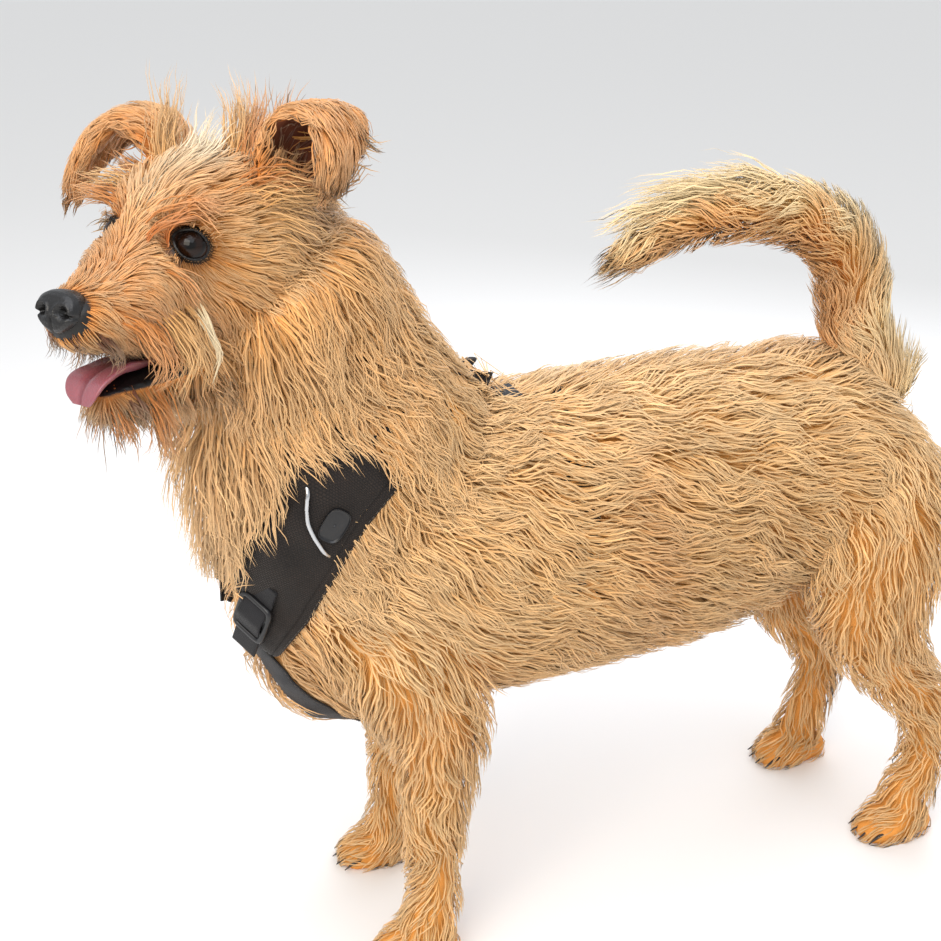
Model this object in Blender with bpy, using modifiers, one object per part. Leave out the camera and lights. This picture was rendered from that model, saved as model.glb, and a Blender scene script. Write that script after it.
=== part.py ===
"""A rough-coated terrier that stands with its head turned to its left, in a walking harness.

The dog faces -X, its left side is -Y, and +Z is up. Sizes are in millimetres until the last step.
Every solid is the animal's outline at the tips of the coat: a section is the skin plus the coat's depth.
"""

import math

import bmesh
import bpy
import numpy as np
from mathutils import Matrix, Vector
from mathutils.bvhtree import BVHTree
from mathutils.kdtree import KDTree

MM = 0.001

# Driving sizes
VOXEL = 3.0  # grain of the mesh in which the masses of flesh are fused
FLESH_TRIANGLES = 3380
CUT_GAP = 0.5  # width of the thin cuts that part the body
SEAT_GAP = 0.35  # round an eye, the nose and the tongue
FUR_GAP = 2.0  # between a strap and the coat that it presses down

EYE_RADIUS = 10.5
EYE_PLACE = (-2, 22.5, 2.5)  # in the head's axes: forward, to its left, up
EYE_LOOKS = (0.75, 0.62, 0.10)

HEAD_EYES = Vector((-178.3, -45, 493.7))  # the middle between the eyes
HEAD_YAW, HEAD_PITCH, HEAD_ROLL = 37.0, 10.9, 1.5  # degrees: to its left, nose up, left side up

# A station of a loft: place (3), half width, height above, height below, coat at side, above, below.
TRUNK = [
    (340, 0, 262, 32, 10, 24, 14, 12, 13),
    (322, 0, 272, 52, 26, 44, 14, 13, 15),
    (292, 0, 280, 58, 52, 52, 14, 13, 17),
    (258, 0, 284, 60, 76, 62, 15, 14, 20),
    (210, 0, 282, 60, 81, 72, 16, 14, 23),
    (150, 0, 278, 68, 87, 82, 16, 14, 25),
    (85, 0, 275, 74, 87, 86, 16, 14, 21),
    (40, 0, 272, 76, 88, 86, 17, 14, 17),
    (-10, 0, 270, 75, 90, 86, 18, 14, 16),
    (-55, 0, 268, 68, 78, 86, 18, 14, 18),
    (-92, 0, 263, 56, 60, 83, 18, 14, 20),
    (-114, 0, 257, 42, 38, 76, 18, 14, 18),
]
NECK = [
    (-30, 0, 285, 64, 78, 84, 18, 15, 24),
    (-55, 0, 325, 60, 72, 76, 20, 16, 36),
    (-80, -4, 375, 54, 63, 66, 22, 20, 43),
    (-101, -11, 420, 48, 57, 54, 22, 20, 44),
    (-118, -20, 456, 44, 54, 44, 18, 19, 34),
]
# The legs start inside the trunk. Above is the leg's front, and Y is measured outwards.
FORE_LEG = [
    (-60, 48, 262, 24, 38, 38, 14, 14, 14),
    (-47, 56, 222, 23, 34, 34, 14, 14, 14),
    (-36, 59, 186, 19, 27, 28, 13, 13, 16),
    (-35, 58, 150, 15, 18, 20, 11, 10, 13),
    (-36, 56, 110, 13, 14, 15, 9, 9, 10),
    (-36, 55, 72, 12, 13, 13, 9, 9, 10),
    (-35, 54, 46, 13, 13, 12, 9, 8, 9),
    (-40, 54, 24, 15, 15, 13, 7, 7, 7),
    (-44, 54, 0, 15, 15, 13, 7, 7, 7),
    (-44, 54, -22, 14, 14, 12, 7, 7, 7),
]
HIND_LEG = [
    (294, 34, 284, 26, 38, 34, 15, 14, 12),
    (288, 49, 254, 26, 44, 44, 15, 14, 13),
    (279, 57, 222, 24, 40, 46, 14, 14, 14),
    (282, 59, 186, 20, 31, 34, 12, 12, 13),
    (302, 59, 150, 15, 21, 22, 11, 11, 12),
    (328, 58, 116, 11, 15, 18, 10, 10, 11),
    (342, 57, 90, 11, 14, 15, 10, 9, 10),
    (340, 56, 56, 11, 12, 13, 9, 9, 10),
    (333, 55, 30, 13, 14, 12, 8, 8, 8),
    (330, 55, 4, 14, 14, 12, 7, 7, 7),
    (330, 55, -22, 13, 13, 11, 7, 7, 7),
]
# A paw is a loft from heel to toes, measured from the leg's last station.
PAW = [
    (16, 0, -8, 13, 10, 18, 6, 5, 6),
    (2, 0, -6, 15.5, 14, 20, 5, 5, 6),
    (-14, 0, -8, 17, 13, 18, 5, 5, 6),
    (-26, 0, -12, 14, 9, 14, 4, 4, 5),
]
TAIL = [
    (298, 0, 336, 22, 24, 24, 14, 10, 14),
    (287, 0, 372, 15, 16, 16, 16, 14, 17),
    (278, 0, 406, 12, 13, 13, 17, 16, 19),
    (267, -1, 434, 11, 11, 11, 17, 16, 18),
    (241, -2, 456, 10, 10, 10, 17, 20, 18),
    (200, -4, 467, 8, 8, 8, 17, 23, 17),
    (160, -5, 467, 6, 6, 6, 16, 21, 16),
    (126, -6, 458, 4, 4, 4, 12, 14, 12),
    (104, -6, 445, 2, 2, 2, 5, 7, 5),
]
# The next ones are in the head's axes: forward, to its left, up.
SKULL = [
    (-97, 0, 9, 24, 20, 26, 14, 14, 12),
    (-75, 0, 6, 42, 34, 42, 16, 14, 16),
    (-42, 0, 2, 47, 41, 48, 14, 13, 16),
    (-14, 0, -4, 39, 38, 46, 12, 12, 14),
    (7, 0, -12, 28, 23, 35, 10, 8, 7),
    (26, 0, -24, 24, 17, 23, 9, 6, 5),
    (45, 0, -30, 20, 12, 17, 9, 4, 5),
    (60, 0, -31, 16, 11, 14, 6, 3, 4),
]
JAW = [
    (-48, 0, -50, 24, 16, 18, 12, 2, 14),
    (-15, 0, -60, 21, 9, 12, 8, 1, 18),
    (12, 0, -67, 16, 7, 9, 7, 1, 20),
    (28, 0, -72, 13, 6, 8, 6, 1, 17),
    (39, 0, -75, 9, 5, 7, 4, 1, 10),
]
TONGUE = [
    (4, 0, -59, 12, 2.6, 2.6, 0, 0, 0),
    (20, 0.7, -61.2, 14, 2.8, 2.8, 0, 0, 0),
    (32, 1.3, -63.2, 15, 3, 3, 0, 0, 0),
    (42, 1.8, -65.5, 15, 3, 3, 0, 0, 0),
    (48, 2, -69.5, 13, 3, 3, 0, 0, 0),
    (50, 2, -75.5, 8, 2.6, 2.6, 0, 0, 0),
]
NOSE = [
    (55, 0, -29, 10, 6, 7, 0, 0, 0),
    (62, 0, -28.5, 13.5, 10, 11, 0, 0, 0),
    (69, 0, -28.5, 13.5, 10, 11.5, 0, 0, 0),
    (73, 0, -29, 9, 6.5, 8, 0, 0, 0),
]
# Tufts that stand out as masses of their own: place and three radii in the head's axes, on both sides.
TUFTS = {
    "brow": ((-2, 22, 18), (13, 16, 9)),
    "moustache": ((32, 13, -45), (29, 14, 14)),
    "cheek": ((-46, 33, -30), (36, 24, 36)),
}
# Each ear rises, folds outwards and hangs. Along it: how far out and how high, share of the full width,
# and how far ahead of its base.
EAR = {
    "half_width": 26,
    "fur": 5.0,  # half the ear's thickness with its hair
    "cup": (16, 4),  # how deep the ear is hollowed, at its base and at its fold
    "left": {
        "base": (-60, 35, 1),
        "turn": (22, -9),  # turned forward at its base, and back at its tip
        "parted_at": 7,
        "parting": (80, 84),
        "line": [
            (0, 28, 0.84, 2), (4, 45, 1.0, 0), (9, 60, 1.12, -3), (17, 69, 1.16, -5),
            (26, 70, 1.12, -3), (32, 61, 0.94, 3), (35, 49, 0.68, 12), (36, 36, 0.22, 20),
        ],
    },
    "right": {
        "base": (-52, -24, 0),
        "turn": (22, 25),
        "parted_at": 6,
        "parting": (54, 74),
        "line": [
            (0, 28, 0.8, 0), (5, 43, 0.95, 0), (14, 56, 1.05, -2), (26, 60, 1.12, -3),
            (38, 57, 1.06, -2), (50, 46, 0.92, 0), (57, 33, 0.66, 2), (61, 20, 0.2, 4),
        ],
    },
}

# The harness: middle lines of its straps, laid on the coat afterwards, with width, thickness and furrow.
STRAPS = {
    "shoulder_pad": {
        "line": [
            (4, 12, 388), (-22, 42, 392), (-50, 64, 386), (-78, 72, 370), (-100, 72, 349),
            (-118, 61, 312), (-127, 50, 288), (-131, 38, 263), (-131, 26, 243),
        ],
        "width": 50, "taper": (0.6, 1, 1, 0.6), "thick": 4.6, "furrow": 8.0, "steps": 4,
    },
    "chest_strap": {
        "line": [
            (-136, -8, 236), (-130, -24, 228), (-119, -35, 213), (-106, -35, 194),
            (-92, -24, 178), (-76, -10, 170), (-52, -2, 166), (-20, 0, 162), (28, 0, 164),
        ],
        "width": 25, "thick": 2.4, "furrow": 6.0, "steps": 6, "clear": 2,
    },
    "girth_strap": {"at": 57, "lean": -12, "width": 25, "thick": 2.4, "furrow": 8.0},
    "back_strap": {
        "line": [(23, 0, 384), (31, 0, 379), (42, 0, 377)],
        "width": 25, "thick": 2.4, "furrow": 6.0, "steps": 3,
    },
}
# Fittings that lie on the shoulder pads: place on the left side, length, width and thickness.
FITTINGS = {
    "adjuster": ((-142, -44, 269), 27, 22, 5.0),
}
SIDE_RING = {"line": [(-112, -72, 356), (-113, -74, 343), (-110, -73, 328), (-101, -72, 311)], "wire": 1.6}


def unit(rows):
    return rows / np.maximum(np.linalg.norm(rows, axis=-1, keepdims=True), 1e-9)


def head_axes():
    """Forward, left and up of the head as the columns of a matrix."""
    yaw, pitch, roll = (math.radians(a) for a in (HEAD_YAW, HEAD_PITCH, HEAD_ROLL))
    forward = Vector((-math.cos(yaw) * math.cos(pitch), -math.sin(yaw) * math.cos(pitch), math.sin(pitch)))
    level = Vector((0, 0, 1)).cross(forward).normalized()
    up = forward.cross(level)
    left = level * math.cos(roll) + up * math.sin(roll)
    return Matrix((forward, left, forward.cross(left))).transposed()


HEAD_FRAME = Matrix.Translation(HEAD_EYES) @ head_axes().to_4x4()


def in_head(points):
    """Places given in the head's axes, in the body's."""
    return np.array([HEAD_FRAME @ Vector(p) for p in np.atleast_2d(points)])


def smooth_rows(rows, steps):
    """A Catmull-Rom curve through rows of numbers, with this many steps from each row to the next."""
    rows = np.array(rows, float)
    padded = np.vstack([2 * rows[0] - rows[1], rows, 2 * rows[-1] - rows[-2]])
    t = np.linspace(0, 1, steps, endpoint=False)[:, None]
    parts = [
        0.5 * (2 * b + (c - a) * t + (2 * a - 5 * b + 4 * c - d) * t**2 + (3 * b - a - 3 * c + d) * t**3)
        for a, b, c, d in zip(padded, padded[1:], padded[2:], padded[3:])
    ]
    return np.vstack([*parts, rows[-1:]])


def new_object(name, verts, faces):
    mesh = bpy.data.meshes.new(name)
    mesh.from_pydata([tuple(v) for v in verts], [], faces)
    mesh.update()
    made = bpy.data.objects.new(name, mesh)
    bpy.context.scene.collection.objects.link(made)
    return made


def tidy(obj):
    """Merges the points of a cap and turns every face outwards."""
    shape = bmesh.new()
    shape.from_mesh(obj.data)
    bmesh.ops.remove_doubles(shape, verts=shape.verts, dist=0.01)
    bmesh.ops.recalc_face_normals(shape, faces=shape.faces)
    shape.to_mesh(obj.data)
    shape.free()
    return obj


def grid_faces(rows, columns, closed):
    last = columns if closed else columns - 1
    return [
        (
            r * columns + c, r * columns + (c + 1) % columns,
            (r + 1) * columns + (c + 1) % columns, (r + 1) * columns + c,
        )
        for r in range(rows - 1)
        for c in range(last)
    ]


def loft(name, stations, side=(0, 1, 0), steps=5, around=28, round_ends=(0.6, 0.6), grow=0.0, rings=4):
    """A closed body whose section, an ellipse with unlike halves, is carried along its stations."""
    rows = smooth_rows(stations, steps)
    centres, width = rows[:, :3], rows[:, 3] + rows[:, 6] + grow
    above, below = rows[:, 4] + rows[:, 7] + grow, rows[:, 5] + rows[:, 8] + grow
    along = unit(np.gradient(centres, axis=0))
    across = unit(np.array(side, float) - (along @ np.array(side, float))[:, None] * along)
    upward = np.cross(across, along)
    caps = []
    for end, share in ((0, round_ends[0]), (-1, round_ends[1])):
        reach = share * min(width[end], above[end], below[end]) * (1 if end else -1)
        turns = np.linspace(0, math.pi / 2, rings + 1)
        turns = turns[:0:-1] if end == 0 else turns[1:]
        caps.append([
            (centres[end] + along[end] * reach * math.sin(a), end, max(math.cos(a), 0.02)) for a in turns
        ])
    body = [(centres[i], i, 1.0) for i in range(len(rows))]
    angle = np.linspace(0, 2 * math.pi, around, endpoint=False)
    points = []
    for centre, i, scale in [*caps[0], *body, *caps[1]]:
        height = np.where(np.sin(angle) > 0, above[i], below[i]) * np.sin(angle)
        ring = np.outer(np.cos(angle) * width[i], across[i]) + np.outer(height, upward[i])
        points.append(centre + scale * ring)
    count = len(points)
    faces = grid_faces(count, around, closed=True)
    faces += [tuple(range(around)), tuple(range((count - 1) * around, count * around))]
    return tidy(new_object(name, np.vstack(points), faces))


def ellipsoid(name, frame, radii, fine=28):
    bpy.ops.mesh.primitive_uv_sphere_add(segments=fine, ring_count=fine // 2 + 2, radius=1)
    made = bpy.context.active_object
    made.name = name
    made.data.transform(frame @ Matrix.Diagonal((*radii, 1)))
    return made


def head_loft(name, stations, grow=0.0, **settings):
    rows = np.array(stations, float)
    rows[:, :3] = in_head(rows[:, :3])
    left = HEAD_FRAME.to_3x3() @ Vector((0, 1, 0))
    return loft(name, rows, side=tuple(-left), grow=grow, **settings)


def mirrored(stations, sign, shift=0.0):
    return [(x + shift, sign * y, *rest) for x, y, *rest in stations]


def ear_sheet(side, sign):
    """A leaf that rises from the skull, folds outwards and hangs, hollowed at its base and thickened."""
    ear = EAR[side]
    spine = smooth_rows(ear["line"], 5)
    across = np.linspace(-1, 1, 13)
    share = np.linspace(0, 1, len(spine))
    path = spine[:, :2]
    along = unit(np.gradient(path, axis=0))
    hollow = np.stack([along[:, 1], -along[:, 0]], axis=1)
    cup = np.interp(share, (0, 0.42, 0.75, 1), (*EAR["cup"], 3, 0))
    ease = np.clip((share - 0.15) / 0.6, 0, 1)
    ease = ease * ease * (3 - 2 * ease)
    turns = np.radians(ear["turn"][0] + (ear["turn"][1] - ear["turn"][0]) * ease)
    rows = []
    for i, (_, _, width, lead) in enumerate(spine):
        outward = np.array([math.sin(turns[i]), sign * math.cos(turns[i]), 0])
        forward = np.array([math.cos(turns[i]), -sign * math.sin(turns[i]), 0])
        bowed = path[i] + np.outer(cup[i] * across**2, hollow[i])
        ahead = lead - across * width * EAR["half_width"]
        flat = np.outer(bowed[:, 0], outward) + np.outer(ahead, forward)
        rows.append(flat + np.outer(bowed[:, 1], (0, 0, 1)))
    points = in_head(np.vstack(rows) + np.array(ear["base"]))
    sheet = new_object(f"ear_{side}", points, grid_faces(len(spine), len(across), closed=False))
    solidify = sheet.modifiers.new("thick", "SOLIDIFY")
    solidify.thickness, solidify.offset = 2 * EAR["fur"], 0
    return sheet


def baked(obj):
    """The object with its modifiers applied, as a plain mesh."""
    graph = bpy.context.evaluated_depsgraph_get()
    mesh = bpy.data.meshes.new_from_object(obj.evaluated_get(graph))
    mesh.transform(obj.matrix_world)
    made = bpy.data.objects.new(obj.name, mesh)
    bpy.data.objects.remove(obj)
    bpy.context.scene.collection.objects.link(made)
    return made


def fused(name, pieces):
    """Overlapping pieces as one skin: joined, remeshed on a fine grid and smoothed where they meet."""
    shape = bmesh.new()
    for piece in pieces:
        piece = baked(piece)
        shape.from_mesh(piece.data)
        bpy.data.objects.remove(piece)
    mesh = bpy.data.meshes.new(name)
    shape.to_mesh(mesh)
    shape.free()
    whole = bpy.data.objects.new(name, mesh)
    bpy.context.scene.collection.objects.link(whole)
    remesh = whole.modifiers.new("fuse", "REMESH")
    remesh.mode, remesh.voxel_size = "VOXEL", VOXEL
    soften = whole.modifiers.new("soften", "SMOOTH")
    soften.factor, soften.iterations = 0.5, 5
    return baked(whole)


def leg_pieces():
    pieces = []
    for sign, side in ((-1, "left"), (1, "right")):
        for name, stations, shift in (("fore", FORE_LEG, 10), ("hind", HIND_LEG, -20)):
            leg = mirrored(stations, sign, shift if sign > 0 else 0)
            pieces.append(loft(f"{name}_{side}", leg, steps=4, around=24))
            heel = np.array(leg[-1][:3])
            paw = [(*(heel + (row[0], row[1], row[2] + 37)), *row[3:]) for row in PAW]
            pieces.append(loft(f"{name}_paw_{side}", paw, steps=4, around=24, round_ends=(0.7, 0.9)))
    return pieces


def head_pieces():
    pieces = [head_loft("skull", SKULL), head_loft("jaw", JAW)]
    for sign, side in ((1, "left"), (-1, "right")):
        for tuft, (place, radii) in TUFTS.items():
            frame = HEAD_FRAME @ Matrix.Translation((place[0], sign * place[1], place[2]))
            pieces.append(ellipsoid(f"{tuft}_{side}", frame, radii))
        pieces.append(ear_sheet(side, sign))
    return pieces


def strap_lines():
    """Each strap's name, settings and middle line as points close together."""
    lines = []
    for name, strap in STRAPS.items():
        if name == "girth_strap":
            angle = np.linspace(0, 2 * math.pi, 41)
            lean = strap["lean"] * (1 - np.cos(angle)) / 2
            ring = [strap["at"] + lean, 92 * np.sin(angle), 273 + 106 * np.cos(angle)]
            lines.append((name, strap, np.stack(ring, axis=1)))
        elif name == "shoulder_pad":
            for sign, side in ((-1, "left"), (1, "right")):
                line = smooth_rows(mirrored(strap["line"], sign), strap["steps"])
                lines.append((f"{name}_{side}", strap, line))
        else:
            lines.append((name, strap, smooth_rows(strap["line"], strap["steps"])))
    return lines


def press_down(body, straps, ramp=14.0):
    """Each strap presses a furrow as wide as itself into the coat, with soft edges."""
    count = 3 * len(body.data.vertices)
    places, normals = np.empty(count), np.empty(count)
    body.data.vertices.foreach_get("co", places)
    body.data.vertices.foreach_get("normal", normals)
    places = places.reshape(-1, 3)
    sunk = np.zeros(len(places))
    for _, strap, line in straps:
        tree = KDTree(len(line))
        for i, point in enumerate(line):
            tree.insert(point, i)
        tree.balance()
        away = np.array([tree.find(p)[2] for p in places])
        near = np.clip(1 - (away - strap["width"] / 2) / ramp, 0, 1)
        sunk = np.maximum(sunk, strap["furrow"] * near**2 * (3 - 2 * near))
    body.data.vertices.foreach_set("co", (places - sunk[:, None] * normals.reshape(-1, 3)).ravel())
    body.data.update()


def plane_frame(place, normal, spin=(0, 1, 0)):
    """A frame at a place whose Z is the normal and whose Y lies near spin."""
    z = Vector(normal).normalized()
    x = Vector(spin).cross(z).normalized()
    return Matrix.Translation(place) @ Matrix((x, z.cross(x), z)).transposed().to_4x4()


def slab(place, normal, size, spin=(0, 1, 0)):
    """A cutter: a thin plate across one limb. Size is its reach along its own X and Y."""
    bpy.ops.mesh.primitive_cube_add(size=1)
    made = bpy.context.active_object
    made.data.transform(plane_frame(place, normal, spin) @ Matrix.Diagonal((size[0], size[1], CUT_GAP, 1)))
    return made


def head_slab(place, normal, size, spin=(0, 1, 0)):
    axes = HEAD_FRAME.to_3x3()
    return slab(HEAD_FRAME @ Vector(place), axes @ Vector(normal), size, axes @ Vector(spin))


def body_plates():
    plates = [
        slab((-104, -12, 452), (-0.51, -0.28, 0.81), (230, 200)),
        slab((-66, 0, 316), (-0.6, 0, 0.8), (320, 230)),
        slab((282, 0, 398), (-0.33, 0, 0.94), (84, 84)),
        slab((256, 0, 445), (-0.75, 0, 0.66), (92, 92)),
        slab((180, 0, 468), (-1, 0, 0), (92, 92)),
    ]
    for sign in (-1, 1):
        fore, hind = (10, -20) if sign > 0 else (0, 0)
        plates += [
            slab((-36 + fore, 62 * sign, 157), (0, 0, 1), (120, 92)),
            slab((-42 + fore, 54 * sign, 38), (0, 0, 1), (90, 80)),
            slab((292 + hind, 62 * sign, 204), (-0.2, 0, 0.98), (170, 100)),
            slab((331 + hind, 55 * sign, 38), (0, 0, 1), (90, 80)),
        ]
    return plates


def head_plates():
    """The jaw is parted along the lips and behind the corner of the mouth, and each ear round its base."""
    plates = [
        head_slab((30, 0, -59), (0.17, 0, 0.985), (170, 150)),
        head_slab((-34, 0, -99), (-0.98, 0, -0.17), (112, 240)),
    ]
    for sign, side in ((1, "left"), (-1, "right")):
        ear = EAR[side]
        turn = math.radians(ear["turn"][0])
        out = Vector((math.sin(turn), sign * math.cos(turn), 0))
        across = (out * 0.62 + Vector((0, 0, 0.78))).normalized()
        place = Vector(ear["base"]) + out * 7 + Vector((0, 0, 43.6)) + across * ear["parted_at"]
        plates.append(head_slab(place, across, ear["parting"], (out[1], -out[0], 0)))
    return plates


def boolean(obj, cutter, operation="DIFFERENCE", keep=False):
    cut = obj.modifiers.new(cutter.name, "BOOLEAN")
    cut.operation, cut.object, cut.solver = operation, cutter, "EXACT"
    done = baked(obj)
    if not keep:
        bpy.data.objects.remove(cutter)
    return done


# Where the middle of each part lies, so that the pieces of the cut body get their names.
BODY_PARTS = {
    "head": (-140, -25, 480),
    "neck": (-90, -5, 370),
    "trunk": (110, 0, 275),
    "tail_base": (270, 0, 425),
    "tail_middle": (225, -3, 462),
    "tail_tip": (145, -5, 465),
    "fore_leg_left": (-36, -57, 95),
    "fore_leg_right": (-26, 57, 95),
    "fore_paw_left": (-48, -54, 18),
    "fore_paw_right": (-38, 54, 18),
    "hind_leg_left": (300, -58, 140),
    "hind_leg_right": (280, 58, 140),
    "hind_paw_left": (326, -55, 18),
    "hind_paw_right": (306, 55, 18),
}
HEAD_PARTS = {
    "skull": tuple(in_head((-15, 0, -10))[0]),
    "jaw": tuple(in_head((10, 0, -82))[0]),
    "ear_left": tuple(in_head((-58, 60, 52))[0]),
    "ear_right": tuple(in_head((-34, -70, 46))[0]),
}


def parted(body, plates, places):
    """The body cut by plates into loose pieces, each named for the part that lies nearest to its middle."""
    for plate in plates:
        body = boolean(body, plate)
    shape = bmesh.new()
    shape.from_mesh(body.data)
    left, pieces = set(shape.verts), []
    while left:
        piece, edge = set(), [left.pop()]
        while edge:
            vertex = edge.pop()
            piece.add(vertex)
            for other in (e.other_vert(vertex) for e in vertex.link_edges):
                if other in left:
                    left.remove(other)
                    edge.append(other)
        pieces.append(piece)
    pieces.sort(key=lambda piece: (-len(piece), min(v.index for v in piece)))
    names, made = dict(places), {}
    for piece in pieces[: len(places)]:
        middle = sum((v.co for v in piece), Vector()) / len(piece)
        name = min(names, key=lambda n: (middle - Vector(names[n])).length)
        names.pop(name)
        order = sorted(piece, key=lambda v: v.index)
        number = {vertex: i for i, vertex in enumerate(order)}
        faces = [tuple(number[v] for v in f.verts) for f in shape.faces if f.verts[0] in piece]
        made[name] = new_object(name, [v.co.copy() for v in order], faces)
    print("pieces", [len(p) for p in pieces], "not found", sorted(names))
    shape.free()
    bpy.data.objects.remove(body)
    return made


def decimated(body, triangles):
    triangulate = body.modifiers.new("triangles", "TRIANGULATE")
    triangulate.quad_method = "BEAUTY"
    reduce = body.modifiers.new("reduce", "DECIMATE")
    reduce.ratio = triangles / (2 * len(body.data.polygons))
    return baked(body)


def eye_frame(sign):
    looks = Vector((EYE_LOOKS[0], sign * EYE_LOOKS[1], EYE_LOOKS[2]))
    place = Vector((EYE_PLACE[0], sign * EYE_PLACE[1], EYE_PLACE[2]))
    return HEAD_FRAME @ plane_frame(place, looks, (0, 0, 1))


def eye(name, frame):
    bpy.ops.mesh.primitive_uv_sphere_add(segments=12, ring_count=8, radius=EYE_RADIUS)
    made = bpy.context.active_object
    made.name = name
    made.data.transform(frame)
    return made


def eye_cutter(sign):
    """The eye's room in the head: a ball a little larger than the eye, and the opening between the lids."""
    ball = ellipsoid("socket", eye_frame(sign), [EYE_RADIUS + 2 * SEAT_GAP] * 3, fine=12)
    opening = ellipsoid("lids", eye_frame(sign) @ Matrix.Translation((0, 0, 15)), (9, 11, 15), fine=12)
    return boolean(ball, opening, "UNION")


def ribbon(name, strap, line, body):
    """A flat strap: a ribbon along a line, laid on the coat by Shrinkwrap and thickened outwards."""
    closed = float(np.linalg.norm(line[0] - line[-1])) < 1
    if closed:
        line = line[:-1]
        along = unit(np.roll(line, -1, axis=0) - np.roll(line, 1, axis=0))
    else:
        along = unit(np.gradient(line, axis=0))
    ahead = np.interp(line[:, 0], (-150, -60, 60), (-75, -50, 60))
    middle = np.stack([ahead, 0 * ahead, 0 * ahead + 285], 1)
    outward = line - middle
    outward = unit(outward - np.sum(outward * along, axis=1, keepdims=True) * along)
    across = np.cross(along, outward)
    offsets = np.linspace(-0.5, 0.5, 5 if strap["width"] > 30 or "clear" in strap else 3) * strap["width"]
    taper = np.interp(np.linspace(0, 1, len(line)), (0, 0.25, 0.8, 1), strap.get("taper", (1, 1, 1, 1)))
    points = np.vstack([p + np.outer(offsets * share, a) for p, a, share in zip(line, across, taper)])
    rows, columns = len(line), len(offsets)
    faces = grid_faces(rows, columns, closed=False)
    if closed:
        last = (rows - 1) * columns
        faces += [(last + c, last + c + 1, c + 1, c) for c in range(columns - 1)]
    made = new_object(name, points, faces)
    for step in ("lay", "even", "lay_again"):
        if step == "even":
            soften = made.modifiers.new(step, "SMOOTH")
            soften.factor, soften.iterations = 0.5, 3
        else:
            wrap = made.modifiers.new(step, "SHRINKWRAP")
            wrap.target, wrap.wrap_method, wrap.wrap_mode = body, "NEAREST_SURFACEPOINT", "OUTSIDE_SURFACE"
            wrap.offset = FUR_GAP * strap.get("clear", 1)
    solidify = made.modifiers.new("thick", "SOLIDIFY")
    solidify.thickness, solidify.offset = strap["thick"], 1
    return tidy(baked(made))


def surface(*objects):
    shape = bmesh.new()
    for obj in objects:
        shape.from_mesh(obj.data)
    tree = BVHTree.FromBMesh(shape)
    shape.free()
    return tree


def fitting(name, place, size, ground, along):
    """A flat piece with rounded edges that lies on the highest point of what is under it."""
    spot, normal, _, _ = ground.find_nearest(Vector(place))
    frame = plane_frame(spot, normal, along)
    lift = 0.0
    for u in np.linspace(-0.5, 0.5, 7):
        for v in np.linspace(-0.5, 0.5, 7):
            above = frame @ Vector((u * size[1], v * size[0], 20))
            hit = ground.ray_cast(above, -normal, 30)[0]
            if hit is not None:
                lift = max(lift, (hit - spot).dot(normal))
    bpy.ops.mesh.primitive_cube_add(size=1)
    made = bpy.context.active_object
    made.name = name
    lift += 0.4 + size[2] / 2
    shape = Matrix.Diagonal((size[1], size[0], size[2], 1))
    made.data.transform(frame @ Matrix.Translation((0, 0, lift)) @ shape)
    bevel = made.modifiers.new("rounded", "BEVEL")
    bevel.width, bevel.segments = min(size) * 0.35, 2
    return baked(made)


def wire(name, line, radius, ground):
    """A bent wire that lies on what is under it."""
    points = []
    for point in smooth_rows(line, 3):
        spot, normal, _, _ = ground.find_nearest(Vector(point))
        points.append((*(spot + normal * (radius + 2.0)), radius, radius, radius, 0, 0, 0))
    return loft(name, points, steps=1, around=6, rings=2)


def floor_cut(body):
    """Everything under the floor goes, which leaves flat soles."""
    bpy.ops.mesh.primitive_cube_add(size=1)
    below = bpy.context.active_object
    below.data.transform(Matrix.Translation((100, 0, -50)) @ Matrix.Diagonal((1200, 600, 100, 1)))
    return boolean(body, below)


def harness(straps, body):
    """The straps and the fittings on them."""
    made = {}
    for name, strap, line in straps:
        made[f"harness_{name}"] = ribbon(f"harness_{name}", strap, line, body)
    for sign, side in ((1, "left"), (-1, "right")):
        ground = surface(made[f"harness_shoulder_pad_{side}"])
        mirror = np.array((1, sign, 1))
        for name, (place, *size) in FITTINGS.items():
            along = (-0.55, -0.35 * sign, -0.75)
            full = f"harness_{name}_{side}"
            made[full] = fitting(full, mirror * np.array(place), size, ground, along)
        line = [mirror * np.array(p) for p in SIDE_RING["line"]]
        made[f"harness_ring_{side}"] = wire(f"harness_ring_{side}", line, SIDE_RING["wire"], ground)
    return made


def face_details():
    """The eyes, the nose and the tongue, and the seats that keep them clear of the head."""
    made, seats = {}, []
    for sign, side in ((1, "left"), (-1, "right")):
        made[f"eye_{side}"] = eye(f"eye_{side}", eye_frame(sign))
        seats.append(eye_cutter(sign))
    for name, stations in (("nose", NOSE), ("tongue", TONGUE)):
        shape = {"steps": 1, "around": 10, "rings": 3}
        made[name] = head_loft(name, stations, **shape)
        seats.append(head_loft("seat", stations, grow=2 * SEAT_GAP, round_ends=(0.7, 0.7), **shape))
    return made, seats


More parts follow.
